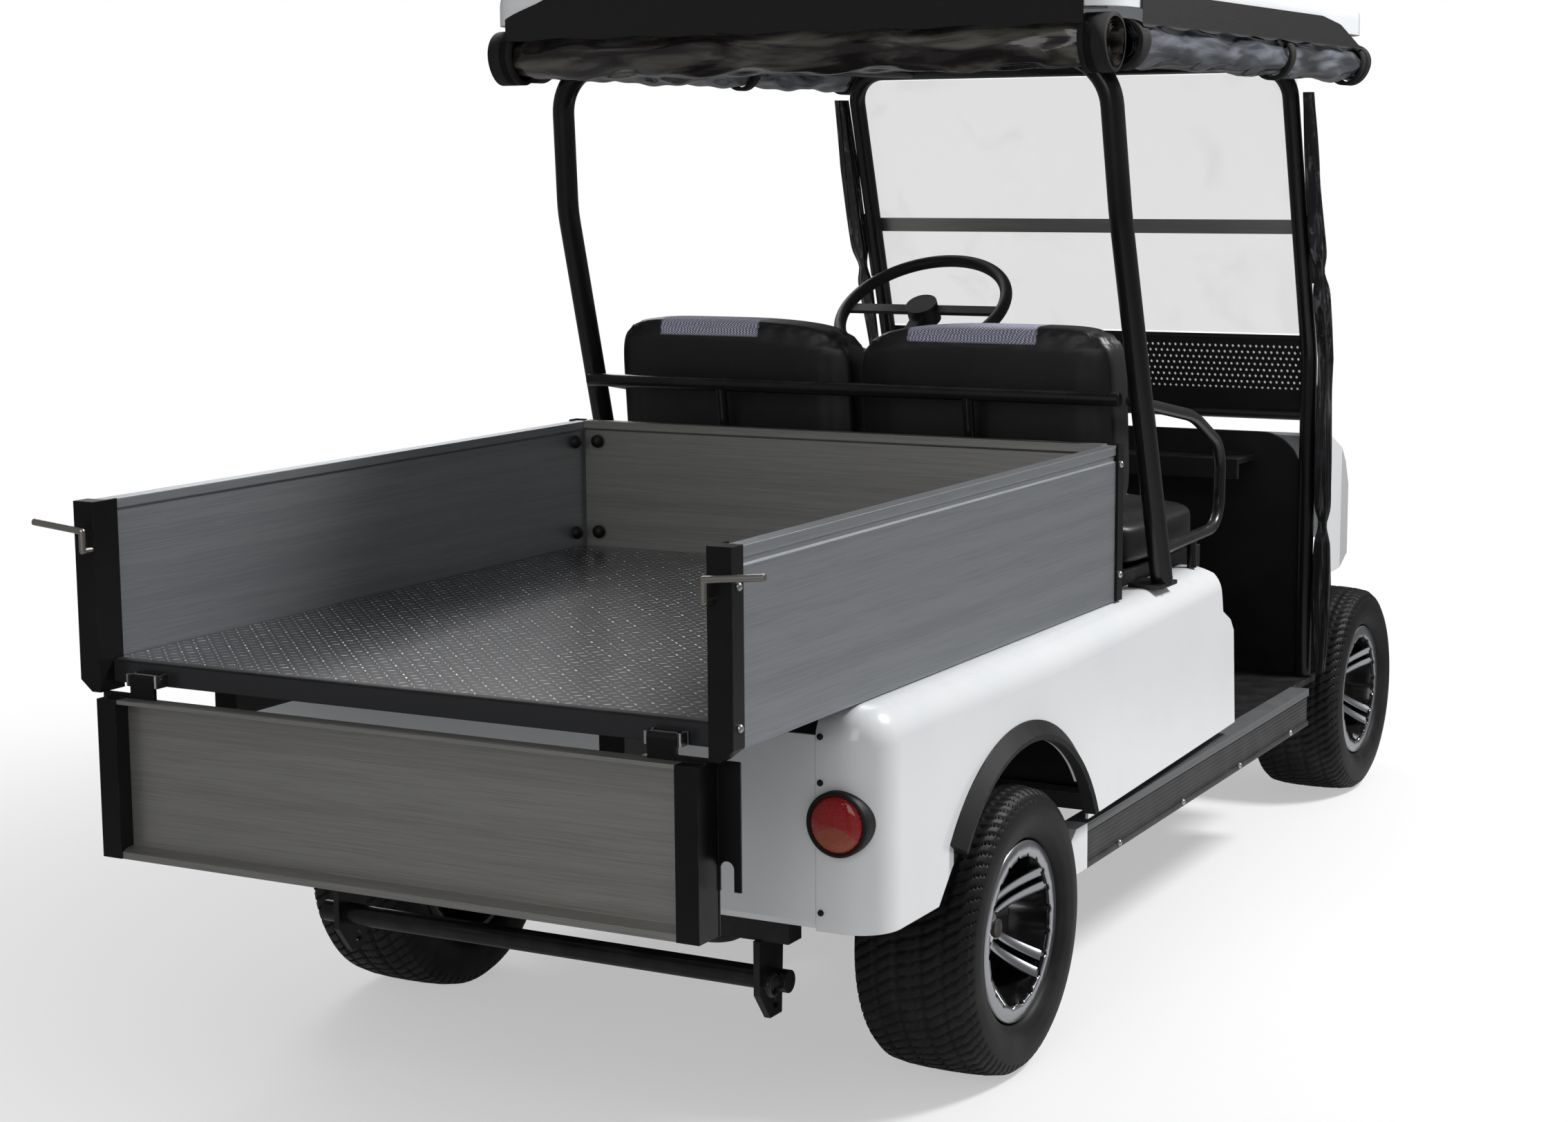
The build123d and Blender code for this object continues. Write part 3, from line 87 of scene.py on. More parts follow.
class Tree:
    """Short calls that add nodes to one node tree."""

    def __init__(self, tree: bpy.types.NodeTree) -> None:
        """Keep the tree.

        Args:
            tree: node tree to fill.
        """
        self.tree = tree

    def node(self, kind: str, settings: dict | None = None, **inputs: Value) -> bpy.types.Node:
        """Add a node, set its properties and feed its inputs.

        Args:
            kind: node type.
            settings: node properties by name.
            **inputs: values or sockets by input name.

        Returns:
            The new node.
        """
        made = self.tree.nodes.new(kind)
        for key, value in (settings or {}).items():
            setattr(made, key, value)
        for key, value in inputs.items():
            self.feed(made.inputs[key], value)
        return made

    def feed(self, socket: Socket, value: Value) -> None:
        """Link a socket into an input, or set the input's own value.

        Args:
            socket: input to feed.
            value: output socket, number, vector or colour.
        """
        if isinstance(value, Socket):
            self.tree.links.new(value, socket)
        elif socket.type == "RGBA":
            socket.default_value = (*value, 1.0)
        else:
            socket.default_value = value

    def math(self, operation: str, *values: Value) -> Socket:
        """Add a math node.

        Args:
            operation: Blender's name of the operation.
            *values: one to three numbers or sockets.

        Returns:
            The result socket.
        """
        made = self.node("ShaderNodeMath", {"operation": operation})
        for socket, value in zip(made.inputs, values):
            self.feed(socket, value)
        return made.outputs[0]

    def times(self, first: Value, second: Value) -> Socket:
        """Multiply two numbers or sockets.

        Args:
            first: number or socket.
            second: number or socket.

        Returns:
            The product.
        """
        return self.math("MULTIPLY", first, second)

    def plus(self, first: Value, second: Value) -> Socket:
        """Add two numbers or sockets.

        Args:
            first: number or socket.
            second: number or socket.

        Returns:
            The sum.
        """
        return self.math("ADD", first, second)

    def middled(self, value: Value) -> Socket:
        """Place inside a unit cell, counted from the cell's middle.

        Args:
            value: number or socket, in cells.

        Returns:
            A value from minus a half to a half.
        """
        return self.math("SUBTRACT", self.math("FRACT", value), 0.5)

    def ramp(self, value: Value, low: float, high: float, to_low: float = 0.0,
             to_high: float = 1.0) -> Socket:
        """Smooth step from one range to another.

        Args:
            value: socket to remap.
            low: value that gives to_low.
            high: value that gives to_high.
            to_low: result at low.
            to_high: result at high.

        Returns:
            The remapped socket.
        """
        made = self.node("ShaderNodeMapRange", {"interpolation_type": "SMOOTHSTEP"}, Value=value)
        for name, number in (("From Min", low), ("From Max", high), ("To Min", to_low), ("To Max", to_high)):
            self.feed(made.inputs[name], number)
        return made.outputs["Result"]

    def blend(self, factor: Value, first: Value, second: Value) -> Socket:
        """Mix two colours.

        Args:
            factor: share of the second colour.
            first: colour or socket.
            second: colour or socket.

        Returns:
            The mixed colour.
        """
        made = self.node("ShaderNodeMix", {"data_type": "RGBA"})
        for socket, value in ((made.inputs[0], factor), (made.inputs[6], first), (made.inputs[7], second)):
            self.feed(socket, value)
        return made.outputs[2]

    def noise(self, vector: Socket, scale: Value, detail: float, distortion: float = 0.0) -> Socket:
        """Add a noise texture.

        Args:
            vector: place.
            scale: number or socket.
            detail: octaves.
            distortion: how far the place is swirled first.

        Returns:
            The noise value.
        """
        inputs = {"Vector": vector, "Scale": scale, "Detail": detail, "Distortion": distortion}
        return self.node("ShaderNodeTexNoise", **inputs).outputs[0]

    def bump(self, height: Socket, distance: float, **inputs: Value) -> Socket:
        """Turn a height into a normal.

        Args:
            height: height socket.
            distance: depth in metres.
            **inputs: other inputs of the node.

        Returns:
            The normal.
        """
        return self.node("ShaderNodeBump", Distance=distance, Height=height, **inputs).outputs[0]

    def place(self) -> tuple[Socket, ...]:
        """Object coordinates as a vector and as X, Y and Z.

        Returns:
            The vector socket, then the three numbers.
        """
        vector = self.node("ShaderNodeTexCoord").outputs["Object"]
        parts = self.node("ShaderNodeSeparateXYZ", Vector=vector)
        return (vector, *parts.outputs)


@dataclass(frozen=True)
class SharedEffect:
    """Shader group with one control, shared by every material that uses it."""

    name: str
    control: str
    start: float
    outputs: tuple[str, ...]
    fill: Callable[[Tree, Socket], dict[str, Socket]]

    @cache
    def group(self) -> bpy.types.NodeTree:
        """Make the group, once.

        Returns:
            The node group.
        """
        made = bpy.data.node_groups.new(self.name, "ShaderNodeTree")
        given = made.interface.new_socket(self.control, in_out="INPUT", socket_type="NodeSocketFloat")
        given.default_value = self.start
        for key in self.outputs:
            kind = "NodeSocketVector" if key == "Normal" else "NodeSocketFloat"
            made.interface.new_socket(key, in_out="OUTPUT", socket_type=kind)
        source = made.nodes.new("NodeGroupInput")
        sink = made.nodes.new("NodeGroupOutput")
        for key, socket in self.fill(Tree(made), source.outputs[self.control]).items():
            made.links.new(socket, sink.inputs[key])
        return made

    def use(self, tree: Tree, value: float) -> bpy.types.bpy_prop_collection:
        """Put the group into a material.

        Args:
            tree: tree of the material.
            value: value of the control.

        Returns:
            The outputs of the group.
        """
        return tree.node("ShaderNodeGroup", {"node_tree": self.group()}, **{self.control: value}).outputs


def fill_grain(tree: Tree, scale: Socket) -> dict[str, Socket]:
    """Fine pebble grain with broad, weak shade changes.

    Args:
        tree: tree of the group.
        scale: fineness of the grain.

    Returns:
        Height and Shade.
    """
    vector = tree.place()[0]
    broad = tree.noise(vector, 6.0, 4.0)
    return {"Height": tree.noise(vector, scale, 3.0), "Shade": tree.ramp(broad, 0.3, 0.7)}


def fill_streaks(tree: Tree, scale: Socket, stretch: Colour) -> dict[str, Socket]:
    """Brush lines: noise drawn out along one axis, over slow shade bands.

    Args:
        tree: tree of the group.
        scale: fineness of the lines.
        stretch: scale of X, Y and Z, small along the lines.

    Returns:
        Height and Shade.
    """
    mapped = tree.node("ShaderNodeMapping", Vector=tree.place()[0], Scale=stretch).outputs[0]
    fine = tree.noise(mapped, scale, 4.0)
    broad = tree.noise(mapped, 38.0, 2.0)
    both = tree.math("MULTIPLY_ADD", fine, 0.6, tree.times(broad, 0.4))
    return {"Height": fine, "Shade": tree.ramp(both, 0.36, 0.64)}


def fill_tread_plate(tree: Tree, pitch: Socket) -> dict[str, Socket]:
    """Raised lozenges on a square lattice, each cell turned against its neighbours.

    A lozenge is an ellipse along one diagonal of its cell, and a cell's parity says which one.
    The Shade paints the raised lozenges lighter as a painted highlight, and a random share of them gets a
    stronger painted glint.

    Args:
        tree: tree of the group.
        pitch: side of a cell.

    Returns:
        Height, and Shade that carries the painted highlight and glints.
    """
    half_length, half_width = 0.62, 0.2
    _, x, y, _ = tree.place()
    along, across = tree.math("DIVIDE", x, pitch), tree.math("DIVIDE", y, pitch)
    column, row = tree.math("FLOOR", along), tree.math("FLOOR", across)
    parity = tree.math("FLOORED_MODULO", tree.plus(column, row), 2.0)
    swapped = tree.math("SUBTRACT", 1.0, parity)
    u, v = tree.middled(along), tree.middled(across)
    rising, falling = tree.plus(u, v), tree.math("SUBTRACT", u, v)
    reach = None
    for first, second, half in ((rising, falling, half_length), (falling, rising, half_width)):
        way = tree.plus(tree.times(first, parity), tree.times(second, swapped))
        share = tree.math("ABSOLUTE", tree.math("DIVIDE", way, half))
        squared = tree.math("POWER", share, 2.0)
        reach = squared if reach is None else tree.plus(reach, squared)
    bump = tree.ramp(reach, 1.0, 0.25)
    cell = tree.node("ShaderNodeCombineXYZ", X=column, Y=row).outputs[0]
    # Painted glints: a random share of the lozenges is painted brighter, standing in for reflected light.
    glint_chance = tree.node("ShaderNodeTexWhiteNoise", {"noise_dimensions": "3D"}, Vector=cell).outputs["Value"]
    painted_glint = tree.math("MULTIPLY_ADD", tree.ramp(glint_chance, 0.6, 0.98), 0.62, 0.38)
    return {"Height": bump, "Shade": tree.times(bump, painted_glint)}


def fill_weave(tree: Tree, scale: Socket) -> dict[str, Socket]:
    """Open knit: two crossed sine waves, with the holes dark.

    Args:
        tree: tree of the group.
        scale: threads, in radians a metre.

    Returns:
        Height and Shade.
    """
    _, x, y, z = tree.place()
    across = tree.math("SINE", tree.times(tree.plus(x, tree.times(z, 0.5)), scale))
    down = tree.math("SINE", tree.times(tree.plus(y, z), scale))
    knit = tree.times(across, down)
    return {"Height": knit, "Shade": tree.ramp(knit, -0.2, 0.5)}


def fill_ribs(tree: Tree, scale: Socket) -> dict[str, Socket]:
    """Rubber ribs that run level, one above the other.

    Args:
        tree: tree of the group.
        scale: ribs, in radians a metre.

    Returns:
        Height and Shade.
    """
    wave = tree.math("SINE", tree.times(tree.place()[3], scale))
    return {"Height": tree.ramp(wave, -0.5, 0.5), "Shade": tree.ramp(wave, -0.6, 0.2)}


def fill_dust(tree: Tree, amount: Socket) -> dict[str, Socket]:
    """Dust that settles on faces that look up and near the ground, broken by noise.

    Args:
        tree: tree of the group.
        amount: greatest share of dust.

    Returns:
        Mask.
    """
    vector, _, _, z = tree.place()
    normal = tree.node("ShaderNodeNewGeometry").outputs["Normal"]
    facing = tree.node("ShaderNodeSeparateXYZ", Vector=normal).outputs[2]
    settled = tree.times(tree.ramp(facing, 0.2, 0.95), 0.6)
    splashed = tree.ramp(z, 0.5, 0.05)
    patchy = tree.ramp(tree.noise(vector, 22.0, 6.0), 0.35, 0.75)
    mask = tree.times(tree.math("MAXIMUM", settled, splashed), patchy)
    return {"Mask": tree.times(mask, amount)}


def fill_wear(tree: Tree, amount: Socket) -> dict[str, Socket]:
    """Worn edges: places where a rounded normal leaves the flat one, broken by noise.

    Args:
        tree: tree of the group.
        amount: greatest share of wear.

    Returns:
        Mask and the rounded Normal.
    """
    vector = tree.place()[0]
    rounded = tree.node("ShaderNodeBevel", {"samples": 4}, Radius=0.0018).outputs[0]
    flat = tree.node("ShaderNodeNewGeometry").outputs["Normal"]
    turn = tree.node("ShaderNodeVectorMath", {"operation": "DOT_PRODUCT"})
    tree.feed(turn.inputs[0], rounded)
    tree.feed(turn.inputs[1], flat)
    broken = tree.ramp(tree.noise(vector, 55.0, 5.0), 0.42, 0.62)
    edge = tree.times(tree.ramp(turn.outputs["Value"], 0.985, 0.88), broken)
    return {"Mask": tree.times(edge, amount), "Normal": rounded}


PATTERN = ("Height", "Shade")
BRUSHED = 0.012
EFFECTS: dict[Effect, SharedEffect] = {
    Effect.GRAIN: SharedEffect("moulded grain", "Scale", 900.0, PATTERN, fill_grain),
    Effect.STREAKS_X: SharedEffect("brush lines x", "Scale", 700.0, PATTERN,
                                   partial(fill_streaks, stretch=(BRUSHED, 1.0, 1.0))),
    Effect.STREAKS_Y: SharedEffect("brush lines y", "Scale", 700.0, PATTERN,
                                   partial(fill_streaks, stretch=(1.0, BRUSHED, 1.0))),
    Effect.TREAD_PLATE: SharedEffect("tread plate", "Scale", 0.017, PATTERN, fill_tread_plate),
    Effect.WEAVE: SharedEffect("woven cloth", "Scale", 900.0, PATTERN, fill_weave),
    Effect.RIBS: SharedEffect("rubber ribs", "Scale", 1100.0, PATTERN, fill_ribs),
}
DUST = SharedEffect("settled dust", "Amount", 0.3, ("Mask",), fill_dust)
EDGE_WEAR = SharedEffect("edge wear", "Amount", 0.5, ("Mask", "Normal"), fill_wear)
DUST_COLOUR: Colour = (0.33, 0.31, 0.28)


# Finishes


def fresh_material(name: str) -> tuple[bpy.types.Material, Tree, bpy.types.Node]:
    """Start a material.

    Args:
        name: plain name of the finish.

    Returns:
        The material, its tree and its Principled shader.
    """
    material = bpy.data.materials.new(name)
    material.use_nodes = True
    return material, Tree(material.node_tree), material.node_tree.nodes["Principled BSDF"]


@dataclass(frozen=True)
class Finish:
    """One surface finish: two shades, gloss, a fine pattern, dust and wear."""

    name: str
    colour: Colour
    shade: Colour
    roughness: float
    metallic: float = 0.0
    effect: Effect = Effect.GRAIN
    scale: float = 900.0
    depth: float = 0.0002
    dust: float = 0.25
    wear: float = 0.3
    worn: Colour = (0.3, 0.3, 0.3)
    coat: float = 0.0
    specular: float = 0.5

    @cache
    def build(self) -> bpy.types.Material:
        """Make the material, once.

        Returns:
            The material.
        """
        material, tree, shader = fresh_material(self.name)
        colour, height = self.pattern(tree)
        wear = EDGE_WEAR.use(tree, self.wear)
        colour = tree.blend(wear["Mask"], colour, self.worn)
        dust = DUST.use(tree, self.dust)["Mask"]
        tree.feed(shader.inputs["Base Color"], tree.blend(dust, colour, DUST_COLOUR))
        tree.feed(shader.inputs["Normal"], tree.bump(height, self.depth, Normal=wear["Normal"]))
        tree.feed(shader.inputs["Roughness"], tree.math("MULTIPLY_ADD", dust, 0.6, self.roughness))
        shader.inputs["Metallic"].default_value = self.metallic
        shader.inputs["Specular IOR Level"].default_value = self.specular
        shader.inputs["Coat Weight"].default_value = self.coat
        shader.inputs["Coat Roughness"].default_value = 0.06
        return material

    def pattern(self, tree: Tree) -> tuple[Socket, Socket]:
        """Colour and height of the fine pattern.

        Args:
            tree: tree of the material.

        Returns:
            Colour socket and height socket.
        """
        given = EFFECTS[self.effect].use(tree, self.scale)
        return tree.blend(given["Shade"], self.colour, self.shade), given["Height"]


@dataclass(frozen=True)
class BandedFinish(Finish):
    """Finish with a plain second colour between two heights."""

    low: float = 0.0
    high: float = 1.0
    other: Colour = (0.5, 0.5, 0.5)
    edge: float = 0.0008

    def pattern(self, tree: Tree) -> tuple[Socket, Socket]:
        """Pattern outside the band and the second colour inside it.

        Args:
            tree: tree of the material.

        Returns:
            Colour socket and height socket.
        """
        colour, height = super().pattern(tree)
        level = tree.math("ABSOLUTE", tree.place()[3])
        above = tree.ramp(level, self.low - self.edge, self.low + self.edge)
        below = tree.ramp(level, self.high + self.edge, self.high - self.edge)
        return tree.blend(tree.times(above, below), colour, self.other), height


INK: Colour = (0.004, 0.004, 0.0045)
BODY_WHITE = Finish("gloss white shell", (0.75, 0.77, 0.79), (0.78, 0.79, 0.81), 0.24, scale=260.0,
                    depth=0.00003, dust=0.12, wear=0.1, worn=(0.6, 0.6, 0.6), coat=0.5)
FRAME_BLACK = Finish("satin black coat", INK, (0.008, 0.008, 0.008), 0.3, depth=0.00006, dust=0.06, wear=0.2,
                     worn=(0.07, 0.07, 0.07), coat=0.3, specular=0.3)
POST_BLACK = Finish("black anodised post", INK, (0.007, 0.007, 0.007), 0.34, depth=0.00005, dust=0.04,
                    wear=0.25, worn=(0.10, 0.10, 0.10), specular=0.25)
PLASTIC_BLACK = Finish("grained black plastic", (0.006, 0.006, 0.007), (0.012, 0.012, 0.013), 0.5,
                       dust=0.06, specular=0.25)
RUBBER_BLACK = Finish("matt black rubber", (0.007, 0.0075, 0.008), (0.013, 0.013, 0.014), 0.55,
                      dust=0.06, specular=0.2)
RIM_BLACK = Finish("gloss black rim well", (0.003, 0.003, 0.0035), (0.006, 0.006, 0.006), 0.14,
                   depth=0.00002, dust=0.02, wear=0.0, coat=0.5)
STEEL_DARK = Finish("dark forged steel", (0.035, 0.035, 0.036), (0.06, 0.055, 0.05), 0.55, 0.6, scale=300.0,
                    depth=0.0004, dust=0.6)
ROD_STEEL = Finish("plated bar", (0.42, 0.40, 0.37), (0.50, 0.48, 0.45), 0.3, 1.0, depth=0.00003, dust=0.05)
BRUSHED_SIDE = Finish("brushed sheet, lengthwise", (0.31, 0.325, 0.345), (0.38, 0.395, 0.415), 0.42, 0.8,
                      Effect.STREAKS_Y, 700.0, 0.00005, dust=0.06, worn=(0.6, 0.6, 0.6))
BRUSHED_CROSS = Finish("brushed sheet, crosswise", (0.30, 0.295, 0.28), (0.38, 0.375, 0.36), 0.4, 0.8,
                       Effect.STREAKS_X, 700.0, 0.00005, dust=0.06, worn=(0.6, 0.6, 0.6))
# Painted reflection: the flat is painted near black for a dark reflection, and the near-white second colour
# paints highlights and glints on the lozenges.
TREAD_FLOOR = Finish("bright tread plate", (0.050, 0.051, 0.055), (0.98, 0.98, 1.0), 0.24, 0.6,
                     Effect.TREAD_PLATE, 0.017, 0.0030, dust=0.0, wear=0.0)
SILL = BandedFinish("sill with metal edges", (0.006, 0.006, 0.007), (0.022, 0.022, 0.024), 0.45, 0.0,
                    Effect.RIBS, 820.0, 0.0015, dust=0.15, wear=0.0, low=0.306, high=0.330,
                    other=(0.10, 0.105, 0.11))
CLOTH_BLACK = Finish("black cloth", INK, (0.010, 0.010, 0.011), 0.7, 0.0, Effect.WEAVE, 2600.0, 0.0003,
                     dust=0.1, wear=0.0)
CHROME = Finish("bright chrome", (0.75, 0.75, 0.76), (0.82, 0.82, 0.82), 0.08, 1.0, depth=0.00001, dust=0.03,
                wear=0.0)
BOLT_STEEL = Finish("zinc bolts", (0.45, 0.45, 0.46), (0.6, 0.6, 0.6), 0.3, 1.0, depth=0.00004, dust=0.1)
TYRE_BLACK = Finish("tyre rubber", (0.006, 0.006, 0.0065), (0.012, 0.012, 0.012), 0.5, scale=420.0,
                    dust=0.03, wear=0.0, specular=0.2)
BUCKLE_RED = Finish("red buckle", (0.55, 0.015, 0.012), (0.5, 0.012, 0.01), 0.35, dust=0.0)


@dataclass(frozen=True)
class ClearFilm:
    """Clear sheet: window pane or flexible film, with lighter streaks along its creases painted on as a
    painted sheen.
    """

    name: str
    tint: Colour
    painted_sheen: Colour
    alpha: float
    stretch: Colour
    roughness: float = 0.12
    depth: float = 0.004
    low: float = 0.52
    high: float = 0.74

    @cache
    def build(self) -> bpy.types.Material:
        """Make the material, once.

        Returns:
            The material.
        """
        material, tree, shader = fresh_material(self.name)
        mapped = tree.node("ShaderNodeMapping", Vector=tree.place()[0], Scale=self.stretch).outputs[0]
        noise = tree.noise(mapped, 6.0, 4.0, 0.8)
        # Painted sheen: lighter streaks along the creases, standing in for light caught there.
        painted_sheen = tree.ramp(noise, self.low, self.high)
        tree.feed(shader.inputs["Base Color"], tree.blend(painted_sheen, self.tint, self.painted_sheen))
        tree.feed(shader.inputs["Alpha"], tree.math("MULTIPLY_ADD", painted_sheen, 0.04, self.alpha))
        tree.feed(shader.inputs["Normal"], tree.bump(noise, self.depth))
        shader.inputs["Roughness"].default_value = self.roughness
        shader.inputs["Coat Weight"].default_value = 0.4
        return material


# The second colour of each film is a painted sheen on its creases.
WINDOW_PANE = ClearFilm("window pane", (0.42, 0.43, 0.43), (0.46, 0.47, 0.47), 0.16,
                        (1.0, 1.0, 1.0), 0.05, 0.0)
FILM_ALONG_X = ClearFilm("rolled film across the cart", (0.014, 0.011, 0.011), (0.13, 0.12, 0.105), 0.95,
                         (0.9, 3.0, 5.5), 0.16, 0.003, 0.42, 0.72)
FILM_ALONG_Y = ClearFilm("rolled film along the cart", (0.030, 0.032, 0.040), (0.16, 0.17, 0.20), 0.95,
                         (3.0, 0.9, 5.5), 0.16, 0.003, 0.38, 0.66)
FILM_UPRIGHT = ClearFilm("gathered film", (0.014, 0.014, 0.015), (0.16, 0.16, 0.17), 0.94,
                         (14.0, 14.0, 0.8), 0.25)


@cache
def machined_material() -> bpy.types.Material:
    """Machined silver on faces that look outwards, gloss black on their flanks.

    Returns:
        The material.
    """
    material, tree, shader = fresh_material("machined spoke faces")
    spaces = {"vector_type": "NORMAL", "convert_from": "WORLD", "convert_to": "OBJECT"}
    normal = tree.node("ShaderNodeNewGeometry").outputs["True Normal"]
    own_normal = tree.node("ShaderNodeVectorTransform", spaces, Vector=normal).outputs[0]
    sideways = tree.math("ABSOLUTE", tree.node("ShaderNodeSeparateXYZ", Vector=own_normal).outputs[0])
    mask = tree.ramp(sideways, 0.5, 0.6)
    turning = tree.noise(tree.place()[0], 900.0, 2.0)
    silver = tree.blend(turning, (0.34, 0.35, 0.37), (0.62, 0.63, 0.66))
    tree.feed(shader.inputs["Base Color"], tree.blend(mask, (0.004, 0.004, 0.005), silver))
    tree.feed(shader.inputs["Metallic"], mask)
    tree.feed(shader.inputs["Roughness"], tree.ramp(mask, 0.0, 1.0, 0.10, 0.27))
    tree.feed(shader.inputs["Normal"], tree.bump(turning, 0.00003))
    return material


@cache
def tray_material() -> bpy.types.Material:
    """Black sheet with staggered rows of round holes between two heights.

    Returns:
        The material.
    """
    material, tree, shader = fresh_material("perforated black sheet")
    pitch, first_row, last_row, fade = 0.013, 0.925, 1.03, 0.005
    _, x, _, z = tree.place()
    row = tree.math("DIVIDE", z, pitch)
    shift = tree.times(tree.math("FLOORED_MODULO", tree.math("FLOOR", row), 2.0), 0.5)
    u = tree.middled(tree.plus(tree.math("DIVIDE", x, pitch), shift))
    v = tree.middled(row)
    away = tree.math("SQRT", tree.plus(tree.times(u, u), tree.times(v, v)))
    hole = tree.times(tree.ramp(away, 0.24, 0.2), tree.ramp(z, first_row, first_row + fade))
    hole = tree.times(hole, tree.ramp(z, last_row, last_row - fade))
    tree.feed(shader.inputs["Base Color"], tree.blend(hole, (0.011, 0.011, 0.012), (0.03, 0.03, 0.03)))
    tree.feed(shader.inputs["Alpha"], tree.math("SUBTRACT", 1.0, tree.times(hole, 0.6)))
    shader.inputs["Roughness"].default_value = 0.38
    return material


# Surfaces


def mesh_piece(name: str, points: np.ndarray, faces: np.ndarray) -> bpy.types.Object:
    """Make a smoothly shaded object from points and four-sided faces.

    Args:
        name: object name.
        points: array of n by 3.
        faces: array of m by 4.

    Returns:
        The new object.
    """
    mesh = bpy.data.meshes.new(name)
    mesh.vertices.add(len(points))
    mesh.vertices.foreach_set("co", points.astype(np.float32).ravel())
    mesh.loops.add(faces.size)
    mesh.loops.foreach_set("vertex_index", faces.astype(np.int32).ravel())
    mesh.polygons.add(len(faces))
    mesh.polygons.foreach_set("loop_start", np.arange(0, faces.size, 4, dtype=np.int32))
    mesh.polygons.foreach_set("use_smooth", np.full(len(faces), True))
    mesh.update(calc_edges=True)
    mesh.validate()
    made = bpy.data.objects.new(name, mesh)
    bpy.context.scene.collection.objects.link(made)
    return made


def grid_faces(rows: int, columns: int, wrap_rows: bool) -> np.ndarray:
    """Faces of a rectangular grid of points.

    Args:
        rows: points along the first index.
        columns: points along the second index.
        wrap_rows: whether the last row joins the first.

    Returns:
        Array of faces.
    """
    i, j = np.meshgrid(np.arange(rows if wrap_rows else rows - 1), np.arange(columns - 1), indexing="ij")
    i, j = i.ravel(), j.ravel()
    i2, j2 = (i + 1) % rows, j + 1
    return np.stack([i * columns + j, i2 * columns + j, i2 * columns + j2, i * columns + j2], axis=1)


def joined(name: str, grids: Sequence[np.ndarray], wrap_rows: bool = True) -> bpy.types.Object:
    """Make one object from several grids of any size.

    Args:
        name: object name.
        grids: grids of points, each rows by columns by 3.
        wrap_rows: whether each grid's last row joins its first.

    Returns:
        The new object.
    """
    points, faces, start = [], [], 0
    for grid in grids:
        points.append(grid.reshape(-1, 3))
        faces.append(grid_faces(grid.shape[0], grid.shape[1], wrap_rows) + start)
        start += points[-1].shape[0]
    return mesh_piece(name, np.concatenate(points), np.concatenate(faces))


def surface(name: str, grid: np.ndarray, wrap_rows: bool = False) -> bpy.types.Object:
    """Make an object from one grid of points.

    Args:
        name: object name.
        grid: array of rows by columns by 3.
        wrap_rows: whether the last row joins the first.

    Returns:
        The new object.
    """
    return joined(name, [grid], wrap_rows)


def full_turn(steps: int) -> np.ndarray:
    """Angles once round, as a column.

    Args:
        steps: how many.

    Returns:
        Array of steps by 1.
    """
    return np.linspace(0, 2 * math.pi, steps, endpoint=False)[:, None]


def turned(centre: Sequence[float], axis: int, sign: int, profile: Profile | np.ndarray,
           steps: int = 32) -> np.ndarray:
    """Grid of a turned form: rows of (height along the axis, radius), turned about that axis.

    Args:
        centre: point on the axis at height 0.
        axis: 0 for X or 1 for Y.
        sign: 1 or -1, the way heights run along the axis.
        profile: rows of height and radius.
        steps: points round the axis.

    Returns:
        Grid of steps by n by 3.
    """
    profile = np.array(profile)
    angle = full_turn(steps) * sign
    height, radius = profile[None, :, 0] * sign, profile[None, :, 1]
    first, second = radius * np.cos(angle), radius * np.sin(angle)
    flat = np.broadcast_to(height, first.shape)
    parts = (flat, first, second) if axis == 0 else (second, flat, first)
    return np.stack(parts, axis=-1) + np.array(centre)


def dress(piece: bpy.types.Object, material: bpy.types.Material, body: str = ROOT) -> None:
    """Give a new piece its material and body.

    Args:
        piece: object to dress.
        material: its material.
        body: body that it rides on.
    """
    piece.data.materials.append(material)
    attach(piece, body)


def coat_node(name: str, material: bpy.types.Material) -> None:
    """Give a carried-over solid its material.

    Args:
        name: node name.
        material: its material.
    """
    target = NODES[name]
    if not target.material_slots:
        target.data.materials.append(material)
    for slot in target.material_slots:
        slot.material = material


# Sub-assemblies


